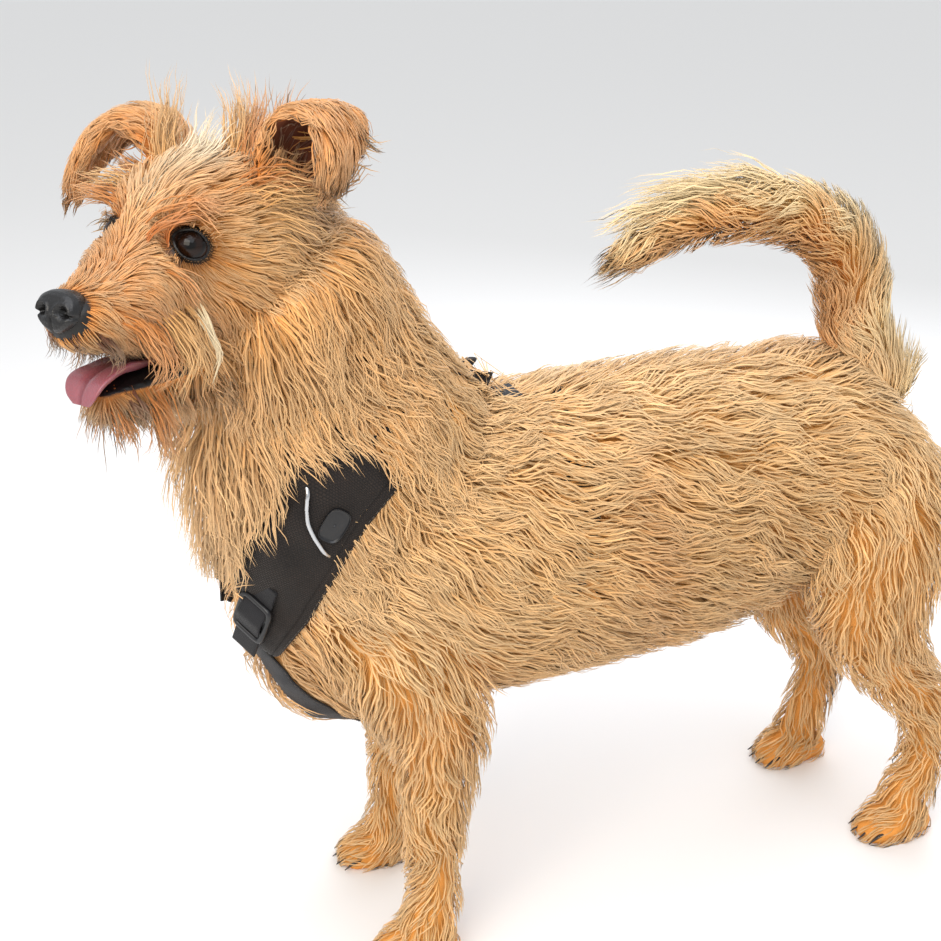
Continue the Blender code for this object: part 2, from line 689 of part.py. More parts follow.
MATERIALS = {
    "golden_coat": ((0.60, 0.36, 0.16), 0.85, 0.0),
    "cream_coat": ((0.72, 0.55, 0.34), 0.85, 0.0),
    "ginger_coat": ((0.50, 0.24, 0.09), 0.85, 0.0),
    "nose_leather": ((0.015, 0.015, 0.017), 0.35, 0.0),
    "eye": ((0.02, 0.01, 0.006), 0.08, 0.0),
    "tongue": ((0.62, 0.22, 0.24), 0.4, 0.0),
    "mesh_padding": ((0.03, 0.026, 0.022), 0.8, 0.0),
    "webbing": ((0.02, 0.02, 0.021), 0.6, 0.0),
    "black_plastic": ((0.015, 0.015, 0.016), 0.35, 0.0),
    "steel": ((0.6, 0.6, 0.62), 0.25, 1.0),
}
USES = {
    "golden_coat": ("trunk", "neck", "fore_leg", "hind_leg", "fore_paw", "hind_paw", "tail_base"),
    "cream_coat": ("tail_middle", "tail_tip"),
    "ginger_coat": ("skull", "jaw", "ear"),
    "nose_leather": ("nose",),
    "eye": ("eye",),
    "tongue": ("tongue",),
    "mesh_padding": ("harness_shoulder_pad",),
    "webbing": ("harness_girth_strap", "harness_chest_strap", "harness_back_strap"),
    "black_plastic": ("harness_adjuster",),
    "steel": ("harness_ring",),
}


def add_materials(made):
    for name, (colour, roughness, metallic) in MATERIALS.items():
        material = bpy.data.materials.new(name)
        material.use_nodes = True
        shader = next(n for n in material.node_tree.nodes if n.type == "BSDF_PRINCIPLED")
        shader.inputs["Base Color"].default_value = (*colour, 1)
        shader.inputs["Roughness"].default_value = roughness
        shader.inputs["Metallic"].default_value = metallic
        for part, obj in made.items():
            if part.startswith(USES[name]):
                obj.data.materials.clear()
                obj.data.materials.append(material)


def finish(made):
    """Metres, with the middle of the outline's bottom at the origin, in a collection of its own."""
    corners = np.vstack([np.array([v.co for v in obj.data.vertices]) for obj in made.values()])
    low, high = corners.min(0), corners.max(0)
    shift = Vector((-(low[0] + high[0]) / 2, -(low[1] + high[1]) / 2, -low[2]))
    home = bpy.data.collections.new("rough_coated_terrier")
    bpy.context.scene.collection.children.link(home)
    for name, obj in made.items():
        obj.name = obj.data.name = name
        obj.data.transform(Matrix.Scale(MM, 4) @ Matrix.Translation(shift))
        for place in list(obj.users_collection):
            place.objects.unlink(obj)
        home.objects.link(obj)
    print("shift", tuple(shift), "size", high - low)


def main():
    for obj in list(bpy.data.objects):
        bpy.data.objects.remove(obj)
    flesh = [
        loft("trunk", TRUNK, round_ends=(0.5, 0.6)),
        loft("neck", NECK, round_ends=(0.3, 0.5)),
        loft("tail", TAIL),
    ]
    body = fused("body", [*flesh, *leg_pieces(), *head_pieces()])
    straps = strap_lines()
    press_down(body, straps)
    body = floor_cut(decimated(body, FLESH_TRIANGLES))
    made = harness(straps, body)
    made |= parted(body, body_plates(), BODY_PARTS)
    made |= parted(made.pop("head"), head_plates(), HEAD_PARTS)
    details, seats = face_details()
    for seat in seats:
        for name in ("skull", "jaw"):
            made[name] = boolean(made[name], seat, keep=name == "skull")
    made |= details
    add_materials(made)
    finish(made)


main()
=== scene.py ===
import math

import bmesh
import bpy
import numpy as np
from mathutils import Matrix, Vector
from mathutils.bvhtree import BVHTree


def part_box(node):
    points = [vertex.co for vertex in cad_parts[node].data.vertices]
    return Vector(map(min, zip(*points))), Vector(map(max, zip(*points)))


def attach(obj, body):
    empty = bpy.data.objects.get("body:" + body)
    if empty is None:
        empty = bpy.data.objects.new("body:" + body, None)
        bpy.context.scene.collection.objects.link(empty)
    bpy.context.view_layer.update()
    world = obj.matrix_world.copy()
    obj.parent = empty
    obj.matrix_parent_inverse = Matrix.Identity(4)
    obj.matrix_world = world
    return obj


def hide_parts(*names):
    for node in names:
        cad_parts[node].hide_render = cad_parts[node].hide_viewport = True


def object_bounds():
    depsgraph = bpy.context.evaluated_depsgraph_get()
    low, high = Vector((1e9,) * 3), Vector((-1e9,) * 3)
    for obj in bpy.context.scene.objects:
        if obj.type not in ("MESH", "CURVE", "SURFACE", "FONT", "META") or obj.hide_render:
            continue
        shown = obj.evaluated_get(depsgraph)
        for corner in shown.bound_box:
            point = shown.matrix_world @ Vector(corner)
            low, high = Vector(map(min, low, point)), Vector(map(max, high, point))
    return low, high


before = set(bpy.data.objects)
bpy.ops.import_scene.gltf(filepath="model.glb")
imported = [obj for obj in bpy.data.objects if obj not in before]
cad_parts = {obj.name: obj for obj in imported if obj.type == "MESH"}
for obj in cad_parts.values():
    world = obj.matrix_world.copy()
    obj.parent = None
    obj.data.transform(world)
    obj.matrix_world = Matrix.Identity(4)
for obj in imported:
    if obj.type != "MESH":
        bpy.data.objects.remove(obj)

# A rough-coated terrier that stands with its head turned to its left, in a walking harness.
# The tables are in millimetres: the dog faces -X and its left side is -Y.
cadLow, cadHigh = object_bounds()
mm = 0.001
tableMiddle = np.array((60.752, -4.283, 0.0))  # the middle of the outline's box in the tables
boxMiddle = np.array(((cadLow.x + cadHigh.x) / 2, (cadLow.y + cadHigh.y) / 2, cadLow.z)) / mm
shift = boxMiddle - tableMiddle
rng = np.random.default_rng(11)


def inFrame(points):
    # Table millimetres to the frame's metres.
    return (np.asarray(points, float) + shift) * mm


def unit(rows):
    # Each row divided by its length.
    return rows / np.maximum(np.linalg.norm(rows, axis=-1, keepdims=True), 1e-9)


def dots(a, b):
    return np.sum(a * b, axis=-1, keepdims=True)


def eased(x, low, high):
    # 0 below low and 1 above high, with a soft step between: 3t^2 - 2t^3.
    t = np.clip((x - low) / (high - low), 0, 1)
    return t * t * (3 - 2 * t)


def fullTurn(count):
    # Equal angles round a full turn.
    return np.linspace(0, 2 * np.pi, count, endpoint=False)


def boxed(angle, power):
    # The radius of a circle squared off towards a box: (|cos a|^power + |sin a|^power)^(-1 / power).
    return (np.abs(np.cos(angle)) ** power + np.abs(np.sin(angle)) ** power) ** (-1 / power)


def runOf(line):
    # The length of a line up to each of its points.
    return np.r_[0, np.cumsum(np.linalg.norm(np.diff(line, axis=0), axis=1))]


def linear(code):
    # An sRGB hex value as linear red, green and blue.
    parts = np.array([int(code[i : i + 2], 16) / 255 for i in (1, 3, 5)])
    return np.where(parts <= 0.04045, parts / 12.92, ((parts + 0.055) / 1.055) ** 2.4)


def addNode(tree, kind, settings=None, links=None):
    # One shader node, with its settings by socket name or attribute, and links {socket: (node, output)}.
    node = tree.nodes.new("ShaderNode" + kind)
    for name, value in (settings or {}).items():
        if name in node.inputs:
            node.inputs[name].default_value = value
        elif name.isdigit():
            node.inputs[int(name)].default_value = value
        else:
            setattr(node, name, value)
    for name, (source, output) in (links or {}).items():
        tree.links.new(source.outputs[output], node.inputs[int(name) if name.isdigit() else name])
    return node


def varied(tree, colour, pattern, low, high, start=0, end=1):
    # A colour times a pattern that is brought from start and end to low and high; read its output Vector.
    spread = {"From Min": start, "From Max": end, "To Min": low, "To Max": high}
    level = addNode(tree, "MapRange", spread, {"Value": pattern})
    return addNode(tree, "VectorMath", {"operation": "SCALE"},
                   {"0": colour, "Scale": (level, "Result")})


def newMaterial(name):
    # An empty material and its tree of nodes.
    material = bpy.data.materials.new(name)
    material.use_nodes = True
    material.node_tree.nodes.clear()
    return material, material.node_tree


def closeMaterial(tree, shader, bump=None):
    # The shader goes to the output, with its bump where it has one.
    if bump:
        tree.links.new(bump.outputs["Normal"], shader.inputs["Normal"])
    addNode(tree, "OutputMaterial", links={"Surface": (shader, "BSDF")})


# The camera, the floor and the light come first.
stageSet = {
    "azimuth": -21.0, "elevation": 24.2, "distance": 850.0, "lens": 58.2,
    "target": (-20, -80, 357),
    "floorColour": "#efedea", "worldColour": "#edf0f4", "worldStrength": 0.95,
    # name: place, size, watts, colour
    "lights": {
        "skyLight": ((-250, -500, 1500), 1.5, 15, "#f4f7ff"),
        "sunSide": ((-900, -900, 1100), 0.9, 11, "#fff3e0"),
        "backLight": ((700, 700, 900), 0.9, 7, "#f2f6ff"),
    },
}


def makeStage():
    a, e = math.radians(stageSet["azimuth"]), math.radians(stageSet["elevation"])
    back = Vector((math.sin(a) * math.cos(e), -math.cos(a) * math.cos(e), math.sin(e)))
    camera = bpy.data.objects.new("camera", bpy.data.cameras.new("camera"))
    bpy.context.scene.collection.objects.link(camera)
    camera.location = Vector(inFrame(stageSet["target"])) + back * stageSet["distance"] * mm
    camera.rotation_euler = (-back).to_track_quat("-Z", "Y").to_euler()
    camera.data.lens, camera.data.sensor_width = stageSet["lens"], 36
    camera.data.clip_start = 0.02
    bpy.context.scene.camera = camera
    bpy.context.scene.view_settings.view_transform = "Standard"

    # The floor is a wide disc of plain matt paper.
    angle = fullTurn(96)
    rim = np.stack([np.cos(angle), np.sin(angle), 0 * angle], 1) * 9
    mesh = bpy.data.meshes.new("floor")
    mesh.from_pydata(rim.tolist(), [], [tuple(range(96))])
    floor = bpy.data.objects.new("floor", mesh)
    bpy.context.scene.collection.objects.link(floor)
    material, tree = newMaterial("mattPaper")  # matt paper: one even tone, no shine
    shader = addNode(tree, "BsdfPrincipled", {
        "Base Color": (*linear(stageSet["floorColour"]), 1), "Roughness": 0.9, "Specular IOR Level": 0.2})
    closeMaterial(tree, shader)
    mesh.materials.append(material)

    world = bpy.data.worlds.new("paleSky")
    bpy.context.scene.world = world
    world.use_nodes = True
    ground = world.node_tree.nodes["Background"]
    ground.inputs["Color"].default_value = (*linear(stageSet["worldColour"]), 1)
    ground.inputs["Strength"].default_value = stageSet["worldStrength"]
    aim = Vector(inFrame((60, 0, 260)))
    for name, (place, size, watts, colour) in stageSet["lights"].items():
        lamp = bpy.data.lights.new(name, "AREA")
        lamp.size, lamp.energy, lamp.color = size, watts, linear(colour)
        light = bpy.data.objects.new(name, lamp)
        bpy.context.scene.collection.objects.link(light)
        light.location = Vector(inFrame(place))
        light.rotation_euler = (aim - light.location).to_track_quat("-Z", "Y").to_euler()


makeStage()
print("stage made")

# The body's form. A station is its place, its half width and its height above and below, and then the coat's
# depth at the side, above and below.
bodyForm = {
    "trunk": [
        (340, 0, 262, 32, 10, 24, 14, 12, 13), (322, 0, 272, 52, 26, 44, 14, 13, 15),
        (292, 0, 280, 58, 52, 52, 14, 13, 17), (258, 0, 284, 60, 76, 62, 15, 14, 20),
        (210, 0, 282, 60, 81, 72, 16, 14, 23), (150, 0, 278, 68, 87, 82, 16, 14, 25),
        (85, 0, 275, 74, 87, 86, 16, 14, 21), (40, 0, 272, 76, 88, 86, 17, 14, 17),
        (-10, 0, 270, 75, 90, 86, 18, 14, 16), (-55, 0, 268, 68, 78, 86, 18, 14, 18),
        (-92, 0, 263, 56, 60, 83, 18, 14, 20), (-114, 0, 257, 42, 38, 76, 18, 14, 18),
    ],
    "neck": [
        (-30, 0, 285, 64, 78, 84, 18, 15, 24), (-55, 0, 325, 60, 72, 76, 20, 16, 36),
        (-80, -4, 375, 54, 63, 66, 22, 20, 43), (-101, -11, 420, 48, 57, 54, 22, 20, 44),
        (-118, -20, 456, 44, 54, 44, 18, 19, 34),
    ],
    "foreLeg": [
        (-60, 48, 262, 24, 38, 38, 14, 14, 14), (-47, 56, 222, 23, 34, 34, 14, 14, 14),
        (-36, 59, 186, 19, 27, 28, 13, 13, 16), (-35, 58, 150, 15, 18, 20, 11, 10, 13),
        (-36, 56, 110, 13, 14, 15, 9, 9, 10), (-36, 55, 72, 12, 13, 13, 9, 9, 10),
        (-35, 54, 46, 13, 13, 12, 9, 8, 9), (-40, 54, 24, 15, 15, 13, 7, 7, 7),
        (-44, 54, 0, 15, 15, 13, 7, 7, 7), (-44, 54, -22, 14, 14, 12, 7, 7, 7),
    ],
    "hindLeg": [
        (294, 34, 284, 26, 38, 34, 15, 14, 12), (288, 49, 254, 26, 44, 44, 15, 14, 13),
        (279, 57, 222, 24, 40, 46, 14, 14, 14), (282, 59, 186, 20, 31, 34, 12, 12, 13),
        (302, 59, 150, 15, 21, 22, 11, 11, 12), (328, 58, 116, 11, 15, 18, 10, 10, 11),
        (342, 57, 90, 11, 14, 15, 10, 9, 10), (340, 56, 56, 11, 12, 13, 9, 9, 10),
        (333, 55, 30, 13, 14, 12, 8, 8, 8), (330, 55, 4, 14, 14, 12, 7, 7, 7),
        (330, 55, -22, 13, 13, 11, 7, 7, 7),
    ],
    "paw": [
        (16, 0, -8, 13, 10, 18, 6, 5, 6), (2, 0, -6, 15.5, 14, 20, 5, 5, 6),
        (-14, 0, -8, 17, 13, 18, 5, 5, 6), (-26, 0, -12, 14, 9, 14, 4, 4, 5),
    ],
    "tail": [
        (298, 0, 336, 22, 24, 24, 14, 10, 14), (287, 0, 372, 15, 16, 16, 16, 14, 17),
        (278, 0, 406, 12, 13, 13, 17, 16, 19), (267, -1, 434, 11, 11, 11, 17, 16, 18),
        (241, -2, 456, 10, 10, 10, 17, 20, 18), (200, -4, 467, 8, 8, 8, 17, 23, 17),
        (160, -5, 467, 6, 6, 6, 16, 21, 16), (126, -6, 458, 4, 4, 4, 12, 14, 12),
        (104, -6, 445, 2, 2, 2, 5, 7, 5),
    ],
    # in the head's axes: forward, to its left, up
    "skull": [
        (-97, 0, 9, 24, 20, 26, 14, 14, 12), (-75, 0, 6, 42, 34, 42, 16, 14, 16),
        (-42, 0, 2, 47, 41, 48, 14, 13, 16), (-14, 0, -4, 39, 38, 46, 12, 12, 14),
        (7, 0, -12, 28, 23, 35, 10, 8, 7), (26, 0, -24, 24, 17, 23, 9, 6, 5),
        (45, 0, -30, 20, 12, 17, 9, 4, 5), (60, 0, -31, 16, 11, 14, 6, 3, 4),
    ],
    "jaw": [
        (-48, 0, -50, 24, 16, 18, 12, 2, 14), (-15, 0, -60, 21, 9, 12, 8, 1, 18),
        (12, 0, -67, 16, 7, 9, 7, 1, 20), (28, 0, -72, 13, 6, 8, 6, 1, 17),
        (39, 0, -75, 9, 5, 7, 4, 1, 10),
    ],
}
pawLift = 37  # of a paw's rows above its leg's last station
rightShift = {"foreLeg": 10, "hindLeg": -20}  # how far the right leg stands behind the left one
headPose = {"eyes": (-178.3, -45, 493.7), "yaw": 37, "pitch": 10.9, "roll": 1.5}
earForm = {
    "halfWidth": 26, "thick": 4.6, "cup": (16, 4, 3, 0), "columns": 15,
    # base in the head's axes, turn at the base and at the tip; along it: out, up, share of the width, ahead
    "left": ((-60, 35, 1), (22, -9), [
        (0, 28, 0.84, 2), (4, 45, 1.0, 0), (9, 60, 1.12, -3), (17, 69, 1.16, -5),
        (26, 70, 1.12, -3), (32, 61, 0.94, 3), (35, 49, 0.68, 12), (36, 36, 0.22, 20)]),
    "right": ((-52, -24, 0), (22, 25), [
        (0, 28, 0.8, 0), (5, 43, 0.95, 0), (14, 56, 1.05, -2), (26, 60, 1.12, -3),
        (38, 57, 1.06, -2), (50, 46, 0.92, 0), (57, 33, 0.66, 2), (61, 20, 0.2, 4)]),
}


def headAxes():
    # Forward, left and up of the head as columns, from its yaw, pitch and roll.
    yaw, pitch, roll = (math.radians(headPose[k]) for k in ("yaw", "pitch", "roll"))
    forward = np.array((-math.cos(yaw) * math.cos(pitch), -math.sin(yaw) * math.cos(pitch), math.sin(pitch)))
    level = unit(np.cross((0, 0, 1), forward))
    left = level * math.cos(roll) + np.cross(forward, level) * math.sin(roll)
    return np.stack([forward, left, np.cross(forward, left)], 1)


headTurn, headEyes = headAxes(), np.array(headPose["eyes"], float)


def fromHead(points):
    # From the head's axes, whose middle is between the eyes, to the tables', and toHead goes back.
    return headEyes + np.asarray(points, float) @ headTurn.T


def toHead(points):
    return (np.asarray(points, float) - headEyes) @ headTurn


def smoothRows(rows, steps):
    # A Catmull-Rom curve through rows of numbers, with this many steps from each row to the next.
    rows = np.array(rows, float)
    padded = np.vstack([2 * rows[0] - rows[1], rows, 2 * rows[-1] - rows[-2]])
    t = np.linspace(0, 1, steps, endpoint=False)[:, None]
    a, b, c, d = (padded[None, i : len(padded) - 3 + i] for i in range(4))
    t = t[:, None]
    curve = 0.5 * (2 * b + (c - a) * t + (2 * a - 5 * b + 4 * c - d) * t**2 + (3 * b - a - 3 * c + d) * t**3)
    return np.vstack([curve.transpose(1, 0, 2).reshape(-1, rows.shape[1]), rows[-1:]])


def loftGrid(stations, side=(0, 1, 0), steps=5, around=28, ends=(0.6, 0.6), rings=4):
    # Rings of points: centre + scale (cos a * width * across + sin a * height * upward), with the
    # ends rounded by quarter circles. Also each ring's direction, its two axes and its coat.
    rows = smoothRows(stations, steps)
    centres, side = rows[:, :3], np.array(side, float)
    along = unit(np.gradient(centres, axis=0))
    across = unit(side - dots(along, side) * along)
    upward = np.cross(across, along)
    turns = np.linspace(0, np.pi / 2, rings + 1)
    first, last = rows[0, 3:6].min() * ends[0], rows[-1, 3:6].min() * ends[1]
    number = np.r_[np.zeros(rings, int), np.arange(len(rows)), np.full(rings, len(rows) - 1)]
    reach = np.r_[-first * np.sin(turns[:0:-1]), np.zeros(len(rows)), last * np.sin(turns[1:])]
    scale = np.r_[np.cos(turns[:0:-1]), np.ones(len(rows)), np.cos(turns[1:])].clip(0.02)
    angle = fullTurn(around)
    width = rows[number, 3][:, None] * np.cos(angle)
    height = np.where(np.sin(angle) > 0, rows[number, 4][:, None], rows[number, 5][:, None]) * np.sin(angle)
    coatUp = np.where(np.sin(angle) > 0, rows[number, 7][:, None], rows[number, 8][:, None])
    coat = np.hypot(rows[number, 6][:, None] * np.cos(angle), coatUp * np.sin(angle))
    middle = centres[number] + along[number] * reach[:, None]
    spread = width[..., None] * across[number][:, None] + height[..., None] * upward[number][:, None]
    return {
        "points": middle[:, None] + scale[:, None, None] * spread,
        "along": np.broadcast_to(along[number][:, None], spread.shape),
        "out": unit(spread), "coat": coat, "angle": np.broadcast_to(angle, coat.shape),
    }


def ringQuads(rows, columns):
    # Quads between rings of points, row by row, with each ring closed.
    r, c = np.meshgrid(np.arange(rows - 1), np.arange(columns), indexing="ij")
    n = (c + 1) % columns
    quads = np.stack([r * columns + c, r * columns + n, (r + 1) * columns + n, (r + 1) * columns + c], -1)
    return quads.reshape(-1, 4).tolist()


def ringFaces(rows, columns):
    # Quads between rings of points, and a polygon over each end.
    last = (rows - 1) * columns
    ends = [list(range(columns - 1, -1, -1)), list(range(last, last + columns))]
    return ringQuads(rows, columns) + ends


def mirrored(stations, sign, ahead=0.0):
    # The stations on one side of the body, moved along it.
    return [(x + ahead, sign * y, *rest) for x, y, *rest in stations]


def headRows(stations):
    # Stations given in the head's axes, moved to the tables'.
    rows = np.array(stations, float)
    rows[:, :3] = fromHead(rows[:, :3])
    return rows


def earGrid(side, sign):
    # A leaf that rises, folds outwards and hangs: its spine is a curve in the plane of out and up, and
    # across it the leaf is bowed by cup * across^2. Each ring runs round the leaf's two faces.
    base, turns, line = earForm[side]
    spine, count = smoothRows(line, 6), earForm["columns"]
    across = np.linspace(-1, 1, count)
    share = np.linspace(0, 1, len(spine))
    turn = np.radians(turns[0] + (turns[1] - turns[0]) * eased(share, 0.15, 0.75))[:, None]
    along = unit(np.gradient(spine[:, :2], axis=0))
    hollow = np.stack([along[:, 1], -along[:, 0]], 1)
    cup = np.interp(share, (0, 0.42, 0.75, 1), earForm["cup"])
    outward = np.hstack([np.sin(turn), sign * np.cos(turn), 0 * turn])
    forward = np.hstack([np.cos(turn), -sign * np.sin(turn), 0 * turn])
    bowed = spine[:, None, :2] + (cup[:, None] * across**2)[..., None] * hollow[:, None]
    ahead = spine[:, 3:] - across * spine[:, 2:3] * earForm["halfWidth"]
    leaf = bowed[..., :1] * outward[:, None] + ahead[..., None] * forward[:, None]
    leaf = leaf + bowed[..., 1:] * np.array((0, 0, 1.0))
    leaf = fromHead(leaf + np.array(base))
    normal = unit(np.cross(np.gradient(leaf, axis=0), np.gradient(leaf, axis=1)))
    outer = -(hollow[:, :1] * outward + hollow[:, 1:] * np.array((0, 0, 1.0))) @ headTurn.T
    normal *= np.sign(dots(normal, outer[:, None]))  # away from the hollow
    half = earForm["thick"] / 2 * np.sqrt(1 - 0.9 * across**6)[:, None]
    sheets = [leaf + normal * half, (leaf - normal * half)[:, ::-1]]
    return {
        "points": np.concatenate(sheets, 1), "leaf": leaf, "normal": normal,
        "along": np.gradient(leaf, axis=0), "across": np.broadcast_to(across, (len(spine), count)),
        "share": np.broadcast_to(share[:, None], (len(spine), count)),
    }


legGrids, pawGrids = {}, {}
for legName in ("foreLeg", "hindLeg"):
    for sign, side in ((-1, "Left"), (1, "Right")):
        rows = mirrored(bodyForm[legName], sign, rightShift[legName] if sign > 0 else 0)
        legGrids[legName + side] = loftGrid(rows, steps=4, around=24)
        heel = np.array(rows[-1][:3]) + (0, 0, pawLift)
        paw = [(*(heel + row[:3]), *row[3:]) for row in bodyForm["paw"]]
        pawGrids[legName.replace("Leg", "Paw") + side] = loftGrid(paw, steps=4, around=24, ends=(0.7, 0.9))
headSide = tuple(-headTurn[:, 1])
grids = {
    "trunk": loftGrid(bodyForm["trunk"], ends=(0.5, 0.6)),
    "neck": loftGrid(bodyForm["neck"], ends=(0.3, 0.5)),
    "tail": loftGrid(bodyForm["tail"], steps=6, around=20),
    "skull": loftGrid(headRows(bodyForm["skull"]), side=headSide, steps=6, around=40),
    "jaw": loftGrid(headRows(bodyForm["jaw"]), side=headSide, steps=6, around=28),
    **legGrids, **pawGrids,
}
ears = {side: earGrid(side, sign) for side, sign in (("left", 1), ("right", -1))}


def plainMesh(name, points, faces):
    mesh = bpy.data.meshes.new(name)
    mesh.from_pydata(np.asarray(points).tolist(), [], faces)
    mesh.update()
    return mesh


def newPiece(name, mesh):
    # An object at the origin with this mesh.
    made = bpy.data.objects.new(name, mesh)
    bpy.context.scene.collection.objects.link(made)
    return made


def setPiece(name, mesh, material, nodes=()):
    # A finished piece: it rides on the body, takes its slot and stands for the CAD nodes it replaces.
    mesh.materials.append(material)
    piece = newPiece(name, mesh)
    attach(piece, "root")
    if nodes:
        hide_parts(*nodes)
    return piece


def paint(mesh, colours, name="tone"):
    # A colour for each point of a mesh, for its material to read by this name.
    tint = mesh.attributes.new(name, "FLOAT_COLOR", "POINT")
    tint.data.foreach_set("color", np.c_[colours, np.ones(len(colours))].ravel())


def evaluated(piece):
    # The piece's mesh with its modifiers applied; the piece itself is removed.
    mesh = bpy.data.meshes.new_from_object(piece.evaluated_get(bpy.context.evaluated_depsgraph_get()))
    bpy.data.objects.remove(piece)
    return mesh


def readVerts(mesh, what="co"):
    # The places of a mesh's points, or their normals.
    values = np.empty(3 * len(mesh.vertices))
    mesh.vertices.foreach_get(what, values)
    return values.reshape(-1, 3)


# One skin lies over the whole body.
skinSet = {
    "grain": 2.75, "soften": 3,
    "eye": {"place": (-2, 22.5, 2.5), "looks": (0.75, 0.62, 0.10), "radius": 10.5,
            "opening": (11.0, 7.7), "tilt": -27, "lidThick": 0.7, "behind": 3.2, "crease": 0.7},
    "lipRoll": 1.5, "lipReach": 2.2, "sole": 0.4,
    # the edges of the lips in the head's axes, from the front to the corner of the mouth, left side
    "upperLip": [
        (64, 0, -45), (61, 7, -47.5), (52, 13.5, -50.5), (38, 18.5, -53), (20, 21.5, -56), (4, 23, -59),
        (-8, 22.5, -62),
    ],
    "lowerLip": [(48, 0, -73), (44, 6, -72), (34, 11.5, -69), (20, 15, -67), (5, 19, -65.5), (-8, 22, -63.2)],
}


def lipPoints(line):
    # The left half of a lip's edge and its mirror image, as points a millimetre apart.
    half = smoothRows(line, 14)
    return np.vstack([half, half * (1, -1, 1)])


def nearest(points, targets, chunk=3000):
    # The distance from each point to the nearest target, and which it is.
    away, which = np.empty(len(points)), np.empty(len(points), int)
    size = (targets**2).sum(1)
    for i in range(0, len(points), chunk):
        part = points[i : i + chunk]
        square = (part**2).sum(1)[:, None] + size - 2 * part @ targets.T
        which[i : i + chunk] = square.argmin(1)
        away[i : i + chunk] = np.sqrt(square.min(1).clip(0))
    return away, which


def eyeAxes(sign):
    # The eye's middle, and the columns along, above and towards its gaze, in the head's axes.
    eye = skinSet["eye"]
    gaze = unit(np.array(eye["looks"]) * (1, sign, 1))
    level = unit(np.cross((0, 0, 1), gaze))
    above = np.cross(gaze, level)
    tilt = math.radians(eye["tilt"]) * sign
    across = level * math.cos(tilt) + above * math.sin(tilt)
    return np.array(eye["place"]) * (1, sign, 1), np.stack([across, np.cross(gaze, across), gaze], 1)


def inEye(head, sign):
    # Places on the eyeball: arc lengths across and above from the gaze, and the distance from its middle.
    middle, axes = eyeAxes(sign)
    local = (head - middle) @ axes
    far = np.linalg.norm(local, axis=1)
    turn = np.arccos(np.clip(local[:, 2] / np.maximum(far, 1e-6), -1, 1))
    flat = unit(local[:, :2]) * (turn * skinSet["eye"]["radius"])[:, None]
    return flat, far, local


def eyeRing(flat, sign):
    # 1 on the rim of the lids: an almond, a little flatter below and pointed at its inner corner.
    a, b = skinSet["eye"]["opening"]
    x, y = flat[:, 0] / a, flat[:, 1] / b
    x = x * sign  # positive is towards the outer corner
    y = np.where(y < 0, y * 1.06, y) * (1 + 0.45 * np.clip(-x, 0, 1) ** 2)
    return (np.abs(x) ** 1.9 + np.abs(y) ** 1.9) ** (1 / 1.9)


def makeSkin():
    # The forms are fused by a voxel remesh and softened, and the mesh is cut finer where the face needs it.
    shape = bmesh.new()
    for name, grid in grids.items():
        rows, columns = grid["points"].shape[:2]
        shape.from_mesh(plainMesh(name, grid["points"].reshape(-1, 3), ringFaces(rows, columns)))
    for side, ear in ears.items():
        rows, columns = ear["points"].shape[:2]
        shape.from_mesh(plainMesh(side, ear["points"].reshape(-1, 3), ringFaces(rows, columns)))
    bmesh.ops.remove_doubles(shape, verts=shape.verts, dist=0.01)
    bmesh.ops.recalc_face_normals(shape, faces=shape.faces)
    mesh = bpy.data.meshes.new("forms")
    shape.to_mesh(mesh)
    shape.free()
    whole = newPiece("skin", mesh)
    fuse = whole.modifiers.new("fuse", "REMESH")
    fuse.mode, fuse.voxel_size = "VOXEL", skinSet["grain"]
    soften = whole.modifiers.new("soften", "SMOOTH")
    soften.factor, soften.iterations = 0.5, skinSet["soften"]
    mesh = evaluated(whole)

    # Finer faces where the lids, lips and nose are shaped.
    shape = bmesh.new()
    shape.from_mesh(mesh)
    for reach in (1.0, 0.72):
        shape.verts.index_update()
        places = np.array([v.co for v in shape.verts])
        head = toHead(places)
        fine = np.zeros(len(head), bool)
        for sign in (1, -1):
            middle, axes = eyeAxes(sign)
            fine |= np.linalg.norm(head - middle - axes[:, 2] * 7, axis=1) < 16 * reach
        lips = np.vstack([lipPoints(skinSet["upperLip"]), lipPoints(skinSet["lowerLip"])])
        close = (head[:, 0] > -30) & (np.abs(head[:, 1]) < 50)
        fine[close] |= nearest(head[close], lips)[0] < 7 * reach
        edges = [e for e in shape.edges if fine[e.verts[0].index] and fine[e.verts[1].index]]
        bmesh.ops.subdivide_edges(shape, edges=edges, cuts=1, use_grid_fill=True)
    bmesh.ops.triangulate(shape, faces=[f for f in shape.faces if len(f.verts) > 4])
    shape.to_mesh(mesh)
    shape.free()
    return mesh


